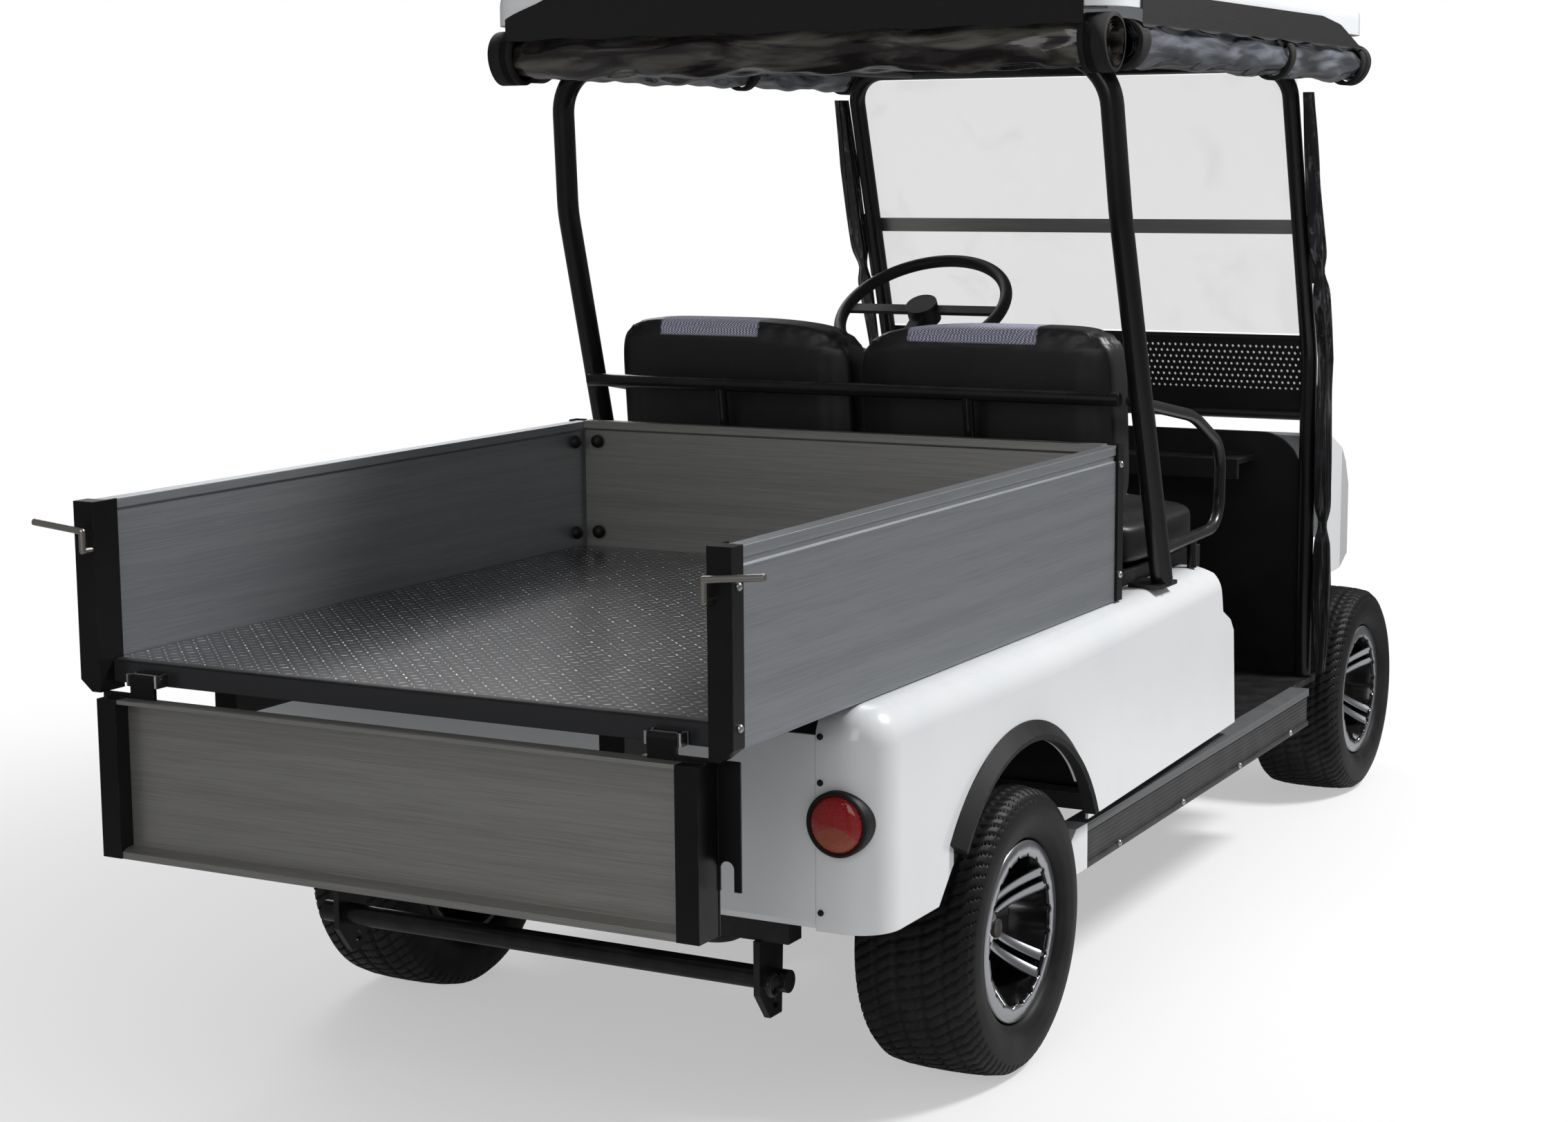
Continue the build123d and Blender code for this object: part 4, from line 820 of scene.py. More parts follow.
@dataclass
class Wheel:
    """One wheel: tyre with cut tread, black rim well, double arms, notched lip ring, cap and nuts."""

    name: str
    side: int
    half_track: float
    y: float
    tyre_radius: float = 0.2295
    half_width: float = 0.1025
    bead_radius: float = 0.1441
    blocks: int = 72
    groove: float = 0.0055
    groove_half: float = 0.0026
    groove_lines: tuple[float, float] = (0.022, 0.054)
    cut_share: float = 0.17
    hub_face: float = 0.026
    lip_face: float = 0.0835
    pairs: int = 5
    phase: float = math.radians(31)
    well: Profile = ((0.0845, 0.1215), (0.060, 0.1165), (0.020, 0.1120), (0.004, 0.104), (0.000, 0.092),
                     (0.000, 0.020))
    inner_side: Profile = ((-0.014, 0.020), (-0.014, 0.108), (-0.080, 0.1215), (-0.0875, 0.1225),
                           (-0.0880, 0.1415), (-0.0850, 0.1432))
    nut: Profile = ((-0.010, 0.0085), (0.010, 0.008), (0.014, 0.005), (0.0145, 0.0004))
    nut_circle: float = 0.050

    @property
    def body(self) -> str:
        """Body that the wheel rides on."""
        return f"wheel_{self.name}"

    @property
    def middle(self) -> np.ndarray:
        """Middle of the wheel."""
        return np.array([self.side * self.half_track, self.y, self.tyre_radius])

    def tread_grid(self) -> np.ndarray:
        """Carcass profile turned about the axle, cut by grooves round the tread and by slanted cross cuts.

        The profile runs from bead to bead through the side walls and the crown.  A cut lowers the
        radius by the groove depth where a point is near a groove line, or inside a cross cut whose
        phase moves with the distance from the middle, so the cuts slant and curve.

        Returns:
            Grid of points.
        """
        half = np.array([(0.081, self.bead_radius), (0.090, 0.149), (0.0985, 0.163), (self.half_width, 0.184),
                         (0.1003, 0.203), (0.094, 0.2155), (0.084, 0.2235), (0.060, 0.2275), (0.030, 0.2291),
                         (0.0, self.tyre_radius)])
        share = np.linspace(0, 1, len(half))
        dense = np.concatenate([np.linspace(0, 0.5, 14, endpoint=False), np.linspace(0.5, 1, 28)])
        x = np.interp(dense, share, half[:, 0])
        radius = np.interp(dense, share, half[:, 1])
        x = np.concatenate([x, -x[-2::-1]])[None, :]
        radius = np.concatenate([radius, radius[-2::-1]])[None, :]
        angle = full_turn(6 * self.blocks)
        reach = np.abs(x)
        inner_line, outer_line = self.groove_lines
        lines = np.minimum(np.abs(reach - inner_line), np.abs(reach - outer_line)) < self.groove_half
        phase = (angle * self.blocks / (2 * math.pi) + 95 * reach ** 1.5 * np.sign(x)) % 1.0
        cross = (phase < self.cut_share) & (reach > 0.004) & (reach < 0.099) & (radius > 0.205)
        radial = radius - self.groove * np.maximum(lines & (radius > 0.22), cross)
        shape = np.broadcast_to(x, radial.shape)
        return np.stack([shape, radial * np.cos(angle), radial * np.sin(angle)], axis=-1) + self.middle

    def settled(self, grid: np.ndarray) -> np.ndarray:
        """Move a form made for a right wheel at the origin to this wheel, mirrored on the left.

        Args:
            grid: points with X outwards from the wheel's middle.

        Returns:
            Grid in place.
        """
        if self.side < 0:
            grid = grid[:, ::-1] * np.array([-1, 1, 1])
        return grid + self.middle

    def spoke_grids(self) -> list[np.ndarray]:
        """Ten arms in five pairs: a flat-faced section swept from the hub out to the lip.

        The path starts deep at the hub and comes outwards with a power of its length; the
        section is a plate with eased edges, and the two arms of a pair run side by side.

        Returns:
            Grids of points.
        """
        share = np.linspace(0, 1, 14)[:, None]
        radius = 0.030 + 0.0895 * share
        height = self.hub_face + (self.lip_face - self.hub_face) * share ** 1.7
        half = 0.0068 + 0.0022 * share
        across = np.array([-1, -1, -0.86, 0, 0.86, 1, 1])[None, :] * half
        back = np.array([-0.016, -0.0014, 0, 0, 0, -0.0014, -0.016])[None, :] + 0 * share
        axle = np.array([1.0, 0, 0])
        grids = []
        for pair in range(self.pairs):
            turn = self.phase + 2 * math.pi * pair / self.pairs
            outwards = np.array([0, math.cos(turn), math.sin(turn)])
            sideways = np.array([0, -math.sin(turn), math.cos(turn)])
            for sign in (-1, 1):
                middle = sign * (0.0105 + 0.0045 * share)
                grids.append(self.settled((height + back)[..., None] * axle
                                          + (radius + 0 * back)[..., None] * outwards
                                          + (middle + across)[..., None] * sideways))
        return grids

    def trim_grids(self) -> list[np.ndarray]:
        """Hub face with its chrome cap, and a nut between each two pairs of arms.

        Returns:
            Grids of points.
        """
        face = self.hub_face
        cap = [(face - 0.020, 0.038), (face + 0.001, 0.038), (face + 0.003, 0.036), (face + 0.003, 0.031),
               (face + 0.012, 0.029), (face + 0.017, 0.022), (face + 0.019, 0.010), (face + 0.0195, 0.0005)]
        grids = [self.settled(turned((0, 0, 0), 0, 1, cap))]
        for index in range(self.pairs):
            turn = self.phase + 2 * math.pi * (index + 0.5) / self.pairs
            place = (face - 0.016, self.nut_circle * math.cos(turn), self.nut_circle * math.sin(turn))
            grids.append(self.settled(turned(place, 0, 1, self.nut, 12)))
        return grids

    def lip_grid(self) -> np.ndarray:
        """Machined lip: its inner edge steps in and out in small notches round the ring.

        Returns:
            Grid of points.
        """
        angle = full_turn(300)
        step = 0.5 + 0.5 * np.tanh(8 * (np.sin(angle * 20) - 0.75))
        inner = 0.1175 + 0.0045 * step
        rows = [(0.0860, 0.1432 + 0 * step), (0.0885, 0.1415 + 0 * step), (0.0885, 0.1245 + 0 * step),
                (0.0876, inner), (0.0800, inner)]
        parts = [np.concatenate([0 * angle + height, radius * np.cos(angle), radius * np.sin(angle)], axis=1)
                 for height, radius in rows]
        return self.settled(np.stack(parts, axis=1))

    def build(self) -> None:
        """Build the tyre and the whole rim."""
        tyre = surface(f"tread_{self.name}", self.tread_grid(), wrap_rows=True)
        dress(tyre, TYRE_BLACK.build(), self.body)
        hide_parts(f"tyre_{self.name}")
        sides = [turned((0, 0, 0), 0, 1, profile, 72) for profile in (self.well, self.inner_side)]
        well = joined(f"rim_well_{self.name}", [self.settled(grid) for grid in sides])
        dress(well, RIM_BLACK.build(), self.body)
        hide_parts(f"rim_{self.name}")
        arms = joined(f"rim_spokes_{self.name}", self.spoke_grids(), wrap_rows=False)
        dress(arms, machined_material(), self.body)
        ring = surface(f"rim_ring_{self.name}", self.lip_grid(), wrap_rows=True)
        dress(ring, machined_material(), self.body)
        trim = joined(f"rim_cap_{self.name}", self.trim_grids())
        dress(trim, CHROME.build(), self.body)


@dataclass
class TailLamps:
    """Round tail lamps: rubber bezel and a domed red and amber lens on each side."""

    middle_x: float = 0.538
    middle_z: float = 0.505
    lens: Profile = ((0.0, 0.0415), (0.003, 0.0405), (0.0062, 0.036), (0.0082, 0.026), (0.0092, 0.013),
                     (0.0095, 0.0004))
    bezel: Profile = ((-0.012, 0.0475), (0.002, 0.0475), (0.0045, 0.0455), (0.0045, 0.0425), (-0.001, 0.0405))

    def glass(self) -> bpy.types.Material:
        """Red lens with moulded dots, amber below an arched line.

        Returns:
            The material.
        """
        material, tree, shader = fresh_material("tail lamp lens")
        dots_per_metre = 1700.0
        _, x, _, z = tree.place()
        side = tree.math("SUBTRACT", tree.math("ABSOLUTE", x), self.middle_x)
        down = tree.math("SUBTRACT", z, self.middle_z)
        arch = tree.math("MULTIPLY_ADD", tree.times(side, side), -14.0, -0.003)
        amber = tree.ramp(tree.math("SUBTRACT", down, arch), 0.0006, -0.0006)
        dots = tree.times(tree.math("SINE", tree.times(side, dots_per_metre)),
                          tree.math("SINE", tree.times(down, dots_per_metre)))
        tree.feed(shader.inputs["Base Color"], tree.blend(amber, (0.36, 0.003, 0.003), (0.34, 0.045, 0.006)))
        tree.feed(shader.inputs["Normal"], tree.bump(dots, 0.0006))
        shader.inputs["Roughness"].default_value = 0.12
        shader.inputs["Coat Weight"].default_value = 1.0
        return material

    def build(self) -> None:
        """Build bezels and lenses over the plain lamps."""
        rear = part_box("tail_lamps")[0].y
        glass = self.glass()
        for sign, name in SIDES:
            centre = (sign * self.middle_x, rear + 0.009, self.middle_z)
            lens = surface(f"lamp_lens_{name}", turned(centre, 1, -1, self.lens, 48), wrap_rows=True)
            dress(lens, glass)
            ring = surface(f"lamp_bezel_{name}", turned(centre, 1, -1, self.bezel, 48), wrap_rows=True)
            dress(ring, PLASTIC_BLACK.build())
        coat_node("tail_lamps", PLASTIC_BLACK.build())


@dataclass
class Seats:
    """Bench cushion and two backrests: crowned pads with piping grooves and knit patches."""

    rounding: float = 7.0
    rows: int = 120
    columns: int = 84
    patches: tuple[tuple[float, float], ...] = ((-0.404, -0.197), (0.111, 0.360))
    patch_edge: float = 0.003
    patch_front: tuple[float, float] = (0.664, 0.672)
    patch_top: tuple[float, float] = (1.097, 1.101)
    back_depth: float = 0.105
    half_gap: float = 0.010
    fill: float = 0.8

    def leather(self) -> bpy.types.Material:
        """Black grained leather with a pale knit patch on each seat place, over the front and the top.

        Returns:
            The material.
        """
        material, tree, shader = fresh_material("seat leather with knit patches")
        _, x, y, z = tree.place()
        mask = None
        for low, high in self.patches:
            inside = tree.times(tree.ramp(x, low - self.patch_edge, low + self.patch_edge),
                                tree.ramp(x, high + self.patch_edge, high - self.patch_edge))
            mask = inside if mask is None else tree.plus(mask, inside)
        front = tree.ramp(y, *(AXLE_Y + level for level in self.patch_front))
        over = tree.ramp(z, *self.patch_top)
        mask = tree.times(mask, tree.math("MAXIMUM", front, over))
        grain = EFFECTS[Effect.GRAIN].use(tree, 520.0)
        knit = EFFECTS[Effect.WEAVE].use(tree, 950.0)
        leather = tree.blend(grain["Shade"], INK, (0.008, 0.008, 0.0085))
        cloth = tree.blend(knit["Shade"], (0.16, 0.16, 0.22), (0.66, 0.66, 0.82))
        height = tree.plus(tree.times(grain["Height"], 0.2), tree.times(knit["Height"], mask))
        tree.feed(shader.inputs["Base Color"], tree.blend(mask, leather, cloth))
        tree.feed(shader.inputs["Roughness"], tree.math("MULTIPLY_ADD", mask, 0.35, 0.45))
        tree.feed(shader.inputs["Normal"], tree.bump(height, 0.0008))
        return material

    def pad_grid(self, low: Vector, high: Vector, groove: float, drop: float, lean: float,
                 inward: int = 0) -> np.ndarray:
        """Closed crowned form inside a box.

        A direction on a sphere is pushed out to a rounded box, its top falls towards one end or
        both ends, and a narrow groove runs inside its edges as a piped seam.

        Args:
            low: lowest corner.
            high: highest corner.
            groove: depth of the seam.
            drop: fall of the top at its ends.
            lean: how far the foot stands forward of the top.
            inward: way along X to the end that falls, or 0 for both ends.

        Returns:
            Grid of points.
        """
        turn = full_turn(self.rows)
        rise = np.linspace(-math.pi / 2, math.pi / 2, self.columns)[None, :]
        level = np.cos(rise)
        ray = np.stack([level * np.cos(turn), level * np.sin(turn), np.sin(rise) + 0 * turn], axis=-1)
        size = np.sum(np.abs(ray) ** self.rounding, axis=-1, keepdims=True) ** (1 / self.rounding)
        unit = ray / size
        half = np.array((high - low) / 2)
        middle = np.array((high + low) / 2)
        edge = np.sort(np.abs(unit), axis=-1)[..., 1]
        seam = np.exp(-((edge - 0.86) / 0.018) ** 2) * groove
        grid = unit * (half - seam[..., None])
        up = (unit[..., 2] + 1) / 2
        reach = np.abs(unit[..., 0]) ** 3 if inward == 0 else np.clip(inward * unit[..., 0], 0, 1) ** 2
        grid[..., 2] -= drop * up * reach
        grid[..., 1] += lean * (1 - up)
        return grid + middle

    def build(self) -> None:
        """Build the three pads in place of their plain solids."""
        low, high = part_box("seat_cushion")
        pads = [("bench_cushion", "seat_cushion", self.pad_grid(low, high, 0.006, 0.012, 0.0))]
        low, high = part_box("seat_backs")
        for sign, name in SIDES:
            x0, x1 = sorted((sign * self.half_gap, sign * high.x))
            start, end = Vector((x0, low.y, low.z)), Vector((x1, low.y + self.back_depth, high.z))
            grid = self.pad_grid(start, end, 0.005, 0.020, 0.030, -sign)
            pads.append((f"backrest_{name}", "seat_backs", grid))
        leather = self.leather()
        for name, node, grid in pads:
            pad = surface(name, grid, wrap_rows=True)
            dress(pad, leather)
            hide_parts(node)


@dataclass(frozen=True)
class RollLine:
    """Middle line of a curtain roll, with its outward and upward ways and its radius."""

    start: np.ndarray
    end: np.ndarray
    side: np.ndarray
    up: np.ndarray
    radius: float

    def around(self, middle: np.ndarray, radius: np.ndarray, turn: np.ndarray) -> np.ndarray:
        """Points at a distance and an angle round given places on the line.

        Args:
            middle: places on the line.
            radius: distances from it.
            turn: angles, 0 outwards and a quarter turn upwards.

        Returns:
            Grid of points.
        """
        return (middle + (radius * np.cos(turn))[..., None] * self.side
                + (radius * np.sin(turn))[..., None] * self.up)


@dataclass
class CurtainRoll:
    """One rolled clear curtain under the roof rim, with its cloth header and ties."""

    name: str
    ties: tuple[float, float]
    seed: float
    turns: float = 3.4
    core: float = 0.022
    columns: int = 150
    rim_half: float = 0.556
    rim_corner: float = 0.095
    rim_bend: float = 0.060
    rim_bend_drop: float = 0.056
    header_bottom: float = 1.636
    end_share: float = 0.016

    @property
    def rear(self) -> bool:
        """Whether the roll lies across the rear."""
        return self.name == "rear"

    def box(self) -> tuple[np.ndarray, np.ndarray]:
        """Lowest and highest corner of the roll's solid."""
        low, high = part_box(f"curtain_roll_{self.name}")
        return np.array(low), np.array(high)

    def line(self) -> RollLine:
        """Middle line of the roll, a little shorter than its solid.

        Returns:
            The line.
        """
        low, high = self.box()
        up = np.array([0, 0, 1.0])
        if self.rear:
            radius = (high[1] - low[1]) / 2
            middle = np.array([0, low[1] + radius, low[2] + radius])
            return RollLine(middle + [low[0] + 0.006, 0, 0], middle + [high[0] - 0.006, 0, 0],
                            np.array([0, -1.0, 0]), up, radius)
        radius = (high[0] - low[0]) / 2
        middle = np.array([low[0] + radius, 0, low[2] + radius])
        out = np.array([1.0 if self.name == "right" else -1.0, 0, 0])
        return RollLine(middle + [0, low[1] + 0.004, 0], middle + [0, high[1] - 0.004, 0], out, up, radius)

    def film_grid(self, line: RollLine) -> np.ndarray:
        """Wound sheet: a spiral from the core out, rippled, swayed and pinched at the ties.

        Args:
            line: middle line of the roll.

        Returns:
            Grid of points, along the roll by along the winding.
        """
        along = np.linspace(0, 1, self.columns)[:, None]
        wind = np.linspace(0, 1, int(40 * self.turns))[None, :]
        turn = math.pi / 2 + 2 * math.pi * self.turns * (1 - wind)
        sway = 0.5 + 0.5 * np.sin(along * 23 + self.seed) * np.sin(along * 9.1 + 2 * self.seed)
        pinch = sum(np.exp(-((along - tie) / 0.018) ** 2) for tie in self.ties)
        ripple = 0.0035 * np.sin(3 * turn + along * 31 + self.seed) + 0.002 * np.sin(7 * turn - along * 57)
        radius = self.core + (line.radius - 0.004 - self.core) * wind
        radius = radius + wind * (ripple - 0.007 * pinch - 0.004 * sway)
        return line.around(line.start + along[..., None] * (line.end - line.start), radius, turn)

    def header_grid(self) -> np.ndarray:
        """Cloth band from the roll up over the outer face of the roof rim.

        Across the band a point keeps outside both the roll, a circle in section, and the rim, an
        upright face that turns over in an arc at its top.  Along the band the top edge falls
        towards the ends, and at the rear the band follows the rim's rounded corners.

        Returns:
            Grid of points.
        """
        low, high = self.box()
        roof_low, roof_high = (np.array(corner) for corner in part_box("roof_canopy"))
        share, rise = np.linspace(0, 1, 90)[:, None], np.linspace(0, 1, 22)[None, :]
        radius = (high - low)[1 if self.rear else 0] / 2
        if self.rear:
            along = -self.rim_half + 2 * self.rim_half * share
            top = np.interp(np.abs(along), [0, 0.45, 0.473, self.rim_half], [1.722, 1.716, 1.702, 1.674])
        else:
            along = low[1] + 0.02 + (high[1] - 0.06 - low[1]) * share
            top = np.interp(high[1] - along, [0.06, 0.20, 0.32], [1.640, 1.680, 1.692])
        bottom = self.header_bottom + 0.002 * np.sin(40 * along)
        z = bottom + (top - bottom) * rise
        over = np.clip(z - (roof_high[2] - self.rim_bend_drop), 0, self.rim_bend * 0.99)
        face = self.rim_bend - np.sqrt(self.rim_bend ** 2 - over ** 2) - 0.004
        off_roll = np.clip(radius ** 2 - (z - low[2] - radius) ** 2, 0, None)
        round_roll = radius - np.sqrt(off_roll) - 0.0025
        if self.rear:
            corner = np.clip(np.abs(along) - (roof_high[0] - self.rim_corner), 0, 0.09)
            rounded = face + self.rim_corner - np.sqrt(self.rim_corner ** 2 - corner ** 2)
            depth = np.minimum(rounded, 0.0015 + round_roll + low[1] - roof_low[1])
            return np.stack([along + 0 * z, roof_low[1] + depth, z], axis=-1)
        right = self.name == "right"
        gap = roof_high[0] - high[0] if right else low[0] - roof_low[0]
        depth = np.minimum(face, gap + round_roll)
        return np.stack([(1 if right else -1) * (roof_high[0] - depth), along + 0 * z, z], axis=-1)

    def tie_grids(self, line: RollLine) -> list[np.ndarray]:
        """Ties round the roll and its two bound ends.

        Args:
            line: middle line of the roll.

        Returns:
            Grids of points.
        """
        direction = (line.end - line.start) / np.linalg.norm(line.end - line.start)
        angle = full_turn(48)
        grids = []
        ends = (self.end_share, 1 - self.end_share)
        for share, half in [(tie, 0.013) for tie in self.ties] + [(end, 0.020) for end in ends]:
            width = np.array([-half, 0.001 - half, half - 0.001, half])[None, :]
            hem = np.array([-0.005, 0.002, 0.002, -0.005])[None, :]
            radius = line.radius - 0.004 + hem + 0.0015 * np.sin(3 * angle)
            middle = line.start + share * (line.end - line.start)
            grids.append(line.around(middle + (width + 0 * angle)[..., None] * direction, radius, angle))
        return grids

    def build(self) -> None:
        """Build the wound sheet, its cloth header and the ties."""
        line = self.line()
        grid = self.film_grid(line)
        sheet = surface(f"curtain_film_{self.name}", grid)
        dress(sheet, (FILM_ALONG_X if self.rear else FILM_ALONG_Y).build())
        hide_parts(f"curtain_roll_{self.name}")
        header = surface(f"curtain_header_{self.name}", self.header_grid())
        dress(header, CLOTH_BLACK.build())
        dress(joined(f"curtain_ties_{self.name}", self.tie_grids(line)), CLOTH_BLACK.build())


@dataclass
class FurledCurtain:
    """Side curtain gathered along the outside of a front pillar, tied in two places."""

    name: str
    side: int
    folds: int = 5
    rows: int = 110
    columns: int = 90
    ties: tuple[float, float] = (0.30, 0.74)
    pillar_y: float = 1.7785
    bend_z: float = 1.0
    pillar_lean: float = -0.30

    def build(self) -> None:
        """Build the gathered sheet: a folded strip whose folds open and close down its length."""
        low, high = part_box(f"furled_curtain_{self.name}")
        inner = abs(low.x) if self.side > 0 else abs(high.x)
        level = np.linspace(0, 1, self.rows)[:, None]
        across = np.linspace(0, 1, self.columns)[None, :]
        z = high.z + (low.z - high.z) * level
        lean = np.where(z > self.bend_z, self.pillar_lean * (z - self.bend_z), 0.0)
        pinch = sum(np.exp(-((level - tie) / 0.02) ** 2) for tie in self.ties)
        loose = np.interp(level, [0.0, 0.12, 0.5, 0.62, 0.86, 1.0], [0.55, 0.8, 0.62, 0.8, 1.0, 0.35])
        open_share = loose * (1 - 0.55 * pinch)
        swing = np.sin(across * math.pi * 2 * self.folds + 1.7 * level)
        out = 0.020 + (0.018 * open_share * swing + 0.004 * np.sin(9 * level + 5 * across))
        span_y = 0.021 * open_share * (2 * across - 1) + 0.004 * np.sin(17 * level + 3 * across)
        y = AXLE_Y + self.pillar_y + lean + span_y
        grid = np.stack([self.side * (inner + out) + 0 * z, y, z + 0 * across], axis=-1)
        piece = surface(f"curtain_furled_{self.name}", grid)
        dress(piece, FILM_UPRIGHT.build())
        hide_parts(f"furled_curtain_{self.name}")


@dataclass(frozen=True)
class Head:
    """Turned head of a small fastener."""

    profile: Profile
    finish: Finish
    slot: str
    size: float = 1.0

    def rows(self, name: str, places: Sequence[tuple[float, float, float]], axis: int, sign: int) -> None:
        """Put heads on faces that look one way, as one piece.

        Args:
            name: object name.
            places: where the heads sit.
            axis: axis that the faces look along.
            sign: 1 or -1 along that axis.
        """
        profile = np.array(self.profile) * self.size
        grids = [turned(place, axis, sign, profile, 14) for place in places]
        dress(joined(name, grids), self.finish.build())


@dataclass
class Fittings:
    """Small parts: bolts, wall caps, screws, the floor seal and the belt buckles."""

    bolt_profile: Profile = ((-0.001, 0.0058), (0.0018, 0.0058), (0.0035, 0.0042), (0.0042, 0.0003))
    cap_profile: Profile = ((-0.001, 0.0125), (0.004, 0.012), (0.009, 0.0085), (0.011, 0.0004))
    stem_profile: Profile = ((0.0, 0.012), (0.05, 0.014), (0.085, 0.017), (0.088, 0.010), (0.088, 0.0003))
    button_profile: Profile = ((0.0, 0.0095), (0.006, 0.009), (0.008, 0.0003))
    cap_levels: tuple[float, float] = (0.900, 0.728)
    post_levels: tuple[float, float] = (0.885, 0.700)
    strip_levels: tuple[float, float] = (0.905, 0.715)
    screw_levels: tuple[float, ...] = (0.626, 0.560, 0.372)
    screw_x: float = 0.508
    screw_y: float = -0.4905
    sill_front_x: float = 0.556
    sill_bolt_z: float = 0.252
    floor_rear: float = -0.783
    buckle_x: float = 0.470
    buckle_y: float = 0.640
    buckle_foot: float = 0.80
    button_foot: float = 0.8875

    def build(self) -> None:
        """Place every small fitting."""
        bolt = Head(self.bolt_profile, BOLT_STEEL, "rod_black")
        cap = Head(self.cap_profile, PLASTIC_BLACK, "black_plastic")
        screw = Head(self.bolt_profile, PLASTIC_BLACK, "black_plastic", 0.8)
        post_low, post_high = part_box("rear_post_right")
        sill_low, sill_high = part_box("sill_right")
        wall_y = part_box("cargo_wall_front")[0].y
        side_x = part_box("cargo_wall_right")[0].x
        strip_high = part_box("corner_strips")[1]
        for sign, name in SIDES:
            bolts = [(sign * post_high.x, post_low.y + 0.018, z) for z in self.post_levels]
            bolts += [(sign * strip_high.x, strip_high.y - 0.012, z) for z in self.strip_levels]
            bolt.rows(f"box_bolts_{name}", bolts, 0, sign)
            side_caps = [(sign * side_x, wall_y - 0.030, z) for z in self.cap_levels]
            cap.rows(f"wall_caps_{name}", side_caps, 0, -sign)
            front_caps = [(sign * (side_x - 0.030), wall_y, z) for z in self.cap_levels]
            cap.rows(f"front_caps_{name}", front_caps, 1, -1)
            rail = [(sign * (sill_high.x + (self.sill_front_x - sill_high.x) * share),
                     sill_low.y + (sill_high.y - sill_low.y) * share, self.sill_bolt_z)
                    for share in np.linspace(0.12, 0.9, 4)]
            bolt.rows(f"sill_bolts_{name}", rail, 0, sign)
            screws = [(sign * self.screw_x, AXLE_Y + self.screw_y, z) for z in self.screw_levels]
            screw.rows(f"body_screws_{name}", screws, 1, -1)
        self.seal()
        self.buckles()

    def seal(self) -> None:
        """Black rubber seal along the rear edge of the load floor, a half round swept across it."""
        low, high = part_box("cargo_floor")
        angle = np.linspace(0, math.pi, 9)[None, :]
        x = np.linspace(low.x + 0.012, high.x - 0.012, 3)[:, None]
        y = AXLE_Y + self.floor_rear + 0.010 - 0.011 * np.cos(angle) + 0 * x
        z = high.z - 0.001 + 0.004 * np.sin(angle) + 0 * x
        strip = surface("floor_seal", np.stack([x + 0 * angle, y, z], axis=-1))
        dress(strip, RUBBER_BLACK.build())

    def buckles(self) -> None:
        """Belt buckles that stand beside the cushion: a turned stem with a red button on top."""
        parts = (("buckle", self.stem_profile, self.buckle_foot, PLASTIC_BLACK, "black_plastic"),
                 ("buckle_button", self.button_profile, self.button_foot, BUCKLE_RED, "lamp_red"))
        for index, x in enumerate((self.buckle_x, -self.buckle_x)):
            for name, profile, z, finish, slot in parts:
                upright = turned((0, 0, 0), 0, 1, profile, 16)[..., [1, 2, 0]]
                grid = upright + np.array([x, AXLE_Y + self.buckle_y, z])
                dress(surface(f"{name}_{index}", grid, wrap_rows=True), finish.build())


@dataclass
class PlainPieces:
    """Finishes of the carried-over solids."""

    coats: tuple[tuple[Finish, str], ...] = (
        (FRAME_BLACK, "chassis_frame box_bearers rear_crossbar pedals rear_hoop front_pillars seat_frame"),
        (STEEL_DARK, "rear_axle drive_motor rear_spring_left rear_spring_right"),
        (STEEL_DARK, "front_axle knuckle_left knuckle_right"),
        (PLASTIC_BLACK, "battery_pack dash_panel seat_base steering_column steering_wheel front_bumper"),
        (RUBBER_BLACK, "floor_pan arch_flares"),
        (BODY_WHITE, "fender_left fender_right rear_panel mudguards roof_canopy front_cowl"),
        (TREAD_FLOOR, "cargo_floor"),
        (BRUSHED_CROSS, "cargo_wall_front tailgate_panel screen_bar"),
        (BRUSHED_SIDE, "cargo_wall_left cargo_wall_right"),
        (POST_BLACK, "rear_post_left rear_post_right corner_strips tailgate_channels"),
        (ROD_STEEL, "latch_rods"),
        (SILL, "sill_left sill_right"),
        (CHROME, "headlamps"),
        (WINDOW_PANE, "screen_panes"),
    )

    def build(self) -> None:
        """Coat every solid that stays in view."""
        for finish, names in self.coats:
            for name in names.split():
                coat_node(name, finish.build())
        coat_node("parcel_tray", tray_material())


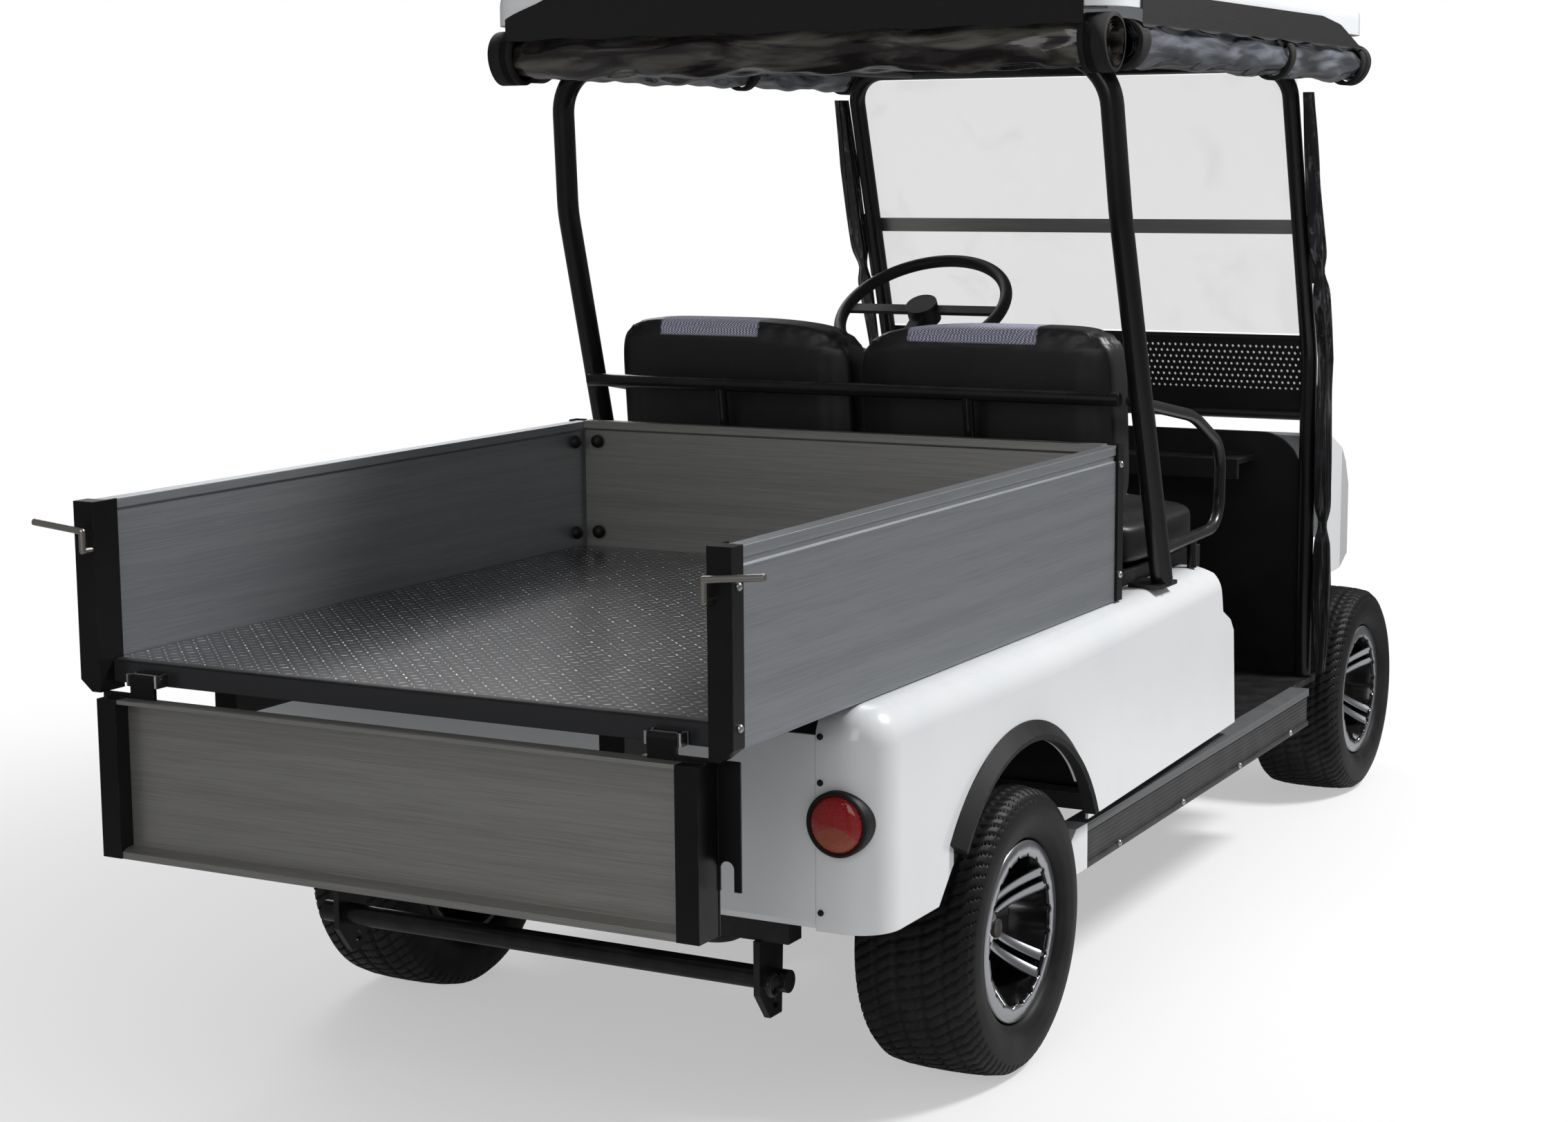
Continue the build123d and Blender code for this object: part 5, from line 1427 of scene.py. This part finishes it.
@dataclass
class Studio:
    """Pale floor, white surroundings, soft lamps and the camera of the photograph."""

    place: tuple[float, float, float] = (2.2135, -3.7607, 1.4268)
    yaw: float = 28.296
    pitch: float = 8.5153
    roll: float = -0.39129
    focal_px: float = 3902.8
    image_width: float = 2269.0
    sensor_width: float = 36.0
    aim: tuple[float, float, float] = (0.0, 0.0, 0.7)
    reach: float = 40.0
    floor_lighting: float = 0.4
    world_lighting: float = 0.34
    mirrored: float = 0.16
    # Name, place, side length and watts of each soft square lamp.
    lamps: tuple[tuple[str, tuple[float, float, float], float, float], ...] = (
        ("key", (3.4, 1.6, 4.6), 1.2, 310.0),
        ("back", (-3.0, 2.5, 3.6), 2.0, 70.0),
        ("front_fill", (0.5, -5.5, 2.6), 3.0, 60.0),
    )

    def camera(self) -> None:
        """Set the camera at the photograph's place and angle."""
        yaw, pitch, roll = (math.radians(value) for value in (self.yaw, self.pitch, self.roll))
        level = math.cos(pitch)
        forward = Vector((-math.sin(yaw) * level, math.cos(yaw) * level, -math.sin(pitch)))
        right = forward.cross(Vector((0, 0, 1))).normalized()
        up = right.cross(forward)
        turned_right = math.cos(roll) * right + math.sin(roll) * up
        turned_up = -math.sin(roll) * right + math.cos(roll) * up
        data = bpy.data.cameras.new("camera")
        data.sensor_width = self.sensor_width
        data.lens = self.focal_px / self.image_width * data.sensor_width
        made = bpy.data.objects.new("camera", data)
        axes = Matrix((turned_right, turned_up, -forward)).transposed().to_4x4()
        made.matrix_world = Matrix.Translation((self.place[0], self.place[1] + AXLE_Y, self.place[2])) @ axes
        bpy.context.scene.collection.objects.link(made)
        bpy.context.scene.camera = made

    def light(self) -> None:
        """Hang the lamps, each facing the middle of the cart."""
        for name, place, size, power in self.lamps:
            data = bpy.data.lights.new(name, "AREA")
            data.size = size
            data.energy = power
            made = bpy.data.objects.new(name, data)
            made.location = place
            made.rotation_euler = (Vector(self.aim) - Vector(place)).to_track_quat("-Z", "Y").to_euler()
            bpy.context.scene.collection.objects.link(made)

    def strength(self, tree: Tree, lighting: float) -> Socket:
        """Strength of a white surrounding: full to the camera, less as light and in mirrored views.

        Args:
            tree: tree to add to.
            lighting: strength that lights the cart.

        Returns:
            Strength socket.
        """
        path = tree.node("ShaderNodeLightPath")
        base = tree.math("MULTIPLY_ADD", path.outputs["Is Camera Ray"], 1.0 - lighting, lighting)
        return tree.math("MULTIPLY_ADD", path.outputs["Is Glossy Ray"], self.mirrored - lighting, base)

    def floor(self) -> None:
        """Add the floor, pale near the cart and white far away."""
        far = self.reach
        points = np.array([(-far, -far, 0), (far, -far, 0), (far, far, 0), (-far, far, 0)], float)
        piece = mesh_piece("studio_floor", points, np.array([[0, 1, 2, 3]]))
        material, tree, shader = fresh_material("studio floor")
        _, x, y, _ = tree.place()
        away = tree.math("SQRT", tree.plus(tree.times(x, x), tree.times(y, y)))
        glow = tree.node("ShaderNodeEmission", Color=WHITE, Strength=self.strength(tree, self.floor_lighting))
        tree.feed(shader.inputs["Base Color"], (0.86, 0.86, 0.86))
        shader.inputs["Roughness"].default_value = 0.9
        mix = tree.node("ShaderNodeMixShader", Fac=tree.ramp(away, 1.2, 3.2, 0.45, 1.0))
        tree.feed(mix.inputs[1], shader.outputs[0])
        tree.feed(mix.inputs[2], glow.outputs[0])
        tree.feed(material.node_tree.nodes["Material Output"].inputs["Surface"], mix.outputs[0])
        piece.data.materials.append(material)

    def surroundings(self) -> None:
        """White where the camera sees it, softer where it lights the cart."""
        world = bpy.data.worlds.new("studio")
        bpy.context.scene.world = world
        world.use_nodes = True
        tree = Tree(world.node_tree)
        background = world.node_tree.nodes["Background"]
        tree.feed(background.inputs["Color"], WHITE)
        tree.feed(background.inputs["Strength"], self.strength(tree, self.world_lighting))

    def build(self) -> None:
        """Build the studio."""
        self.camera()
        self.floor()
        self.surroundings()
        self.light()
        bpy.context.scene.view_settings.view_transform = "Standard"


def main() -> None:
    """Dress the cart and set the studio."""
    logging.basicConfig(level=logging.INFO)
    PlainPieces().build()
    for end in ("rear", "front"):
        for side, name in SIDES:
            x, y, _ = JOINTS[f"wheel_{end}_{name}_spin"]["pos_m"]
            Wheel(f"{end}_{name}", side, abs(x), y).build()
    TailLamps().build()
    Seats().build()
    CurtainRoll("rear", (0.03, 0.97), 1.0).build()
    CurtainRoll("left", (0.61, 0.97), 2.3).build()
    CurtainRoll("right", (0.61, 0.97), 3.7).build()
    for side, name in SIDES:
        FurledCurtain(name, side).build()
    Fittings().build()
    Studio().build()


if __name__ == "__main__":
    main()
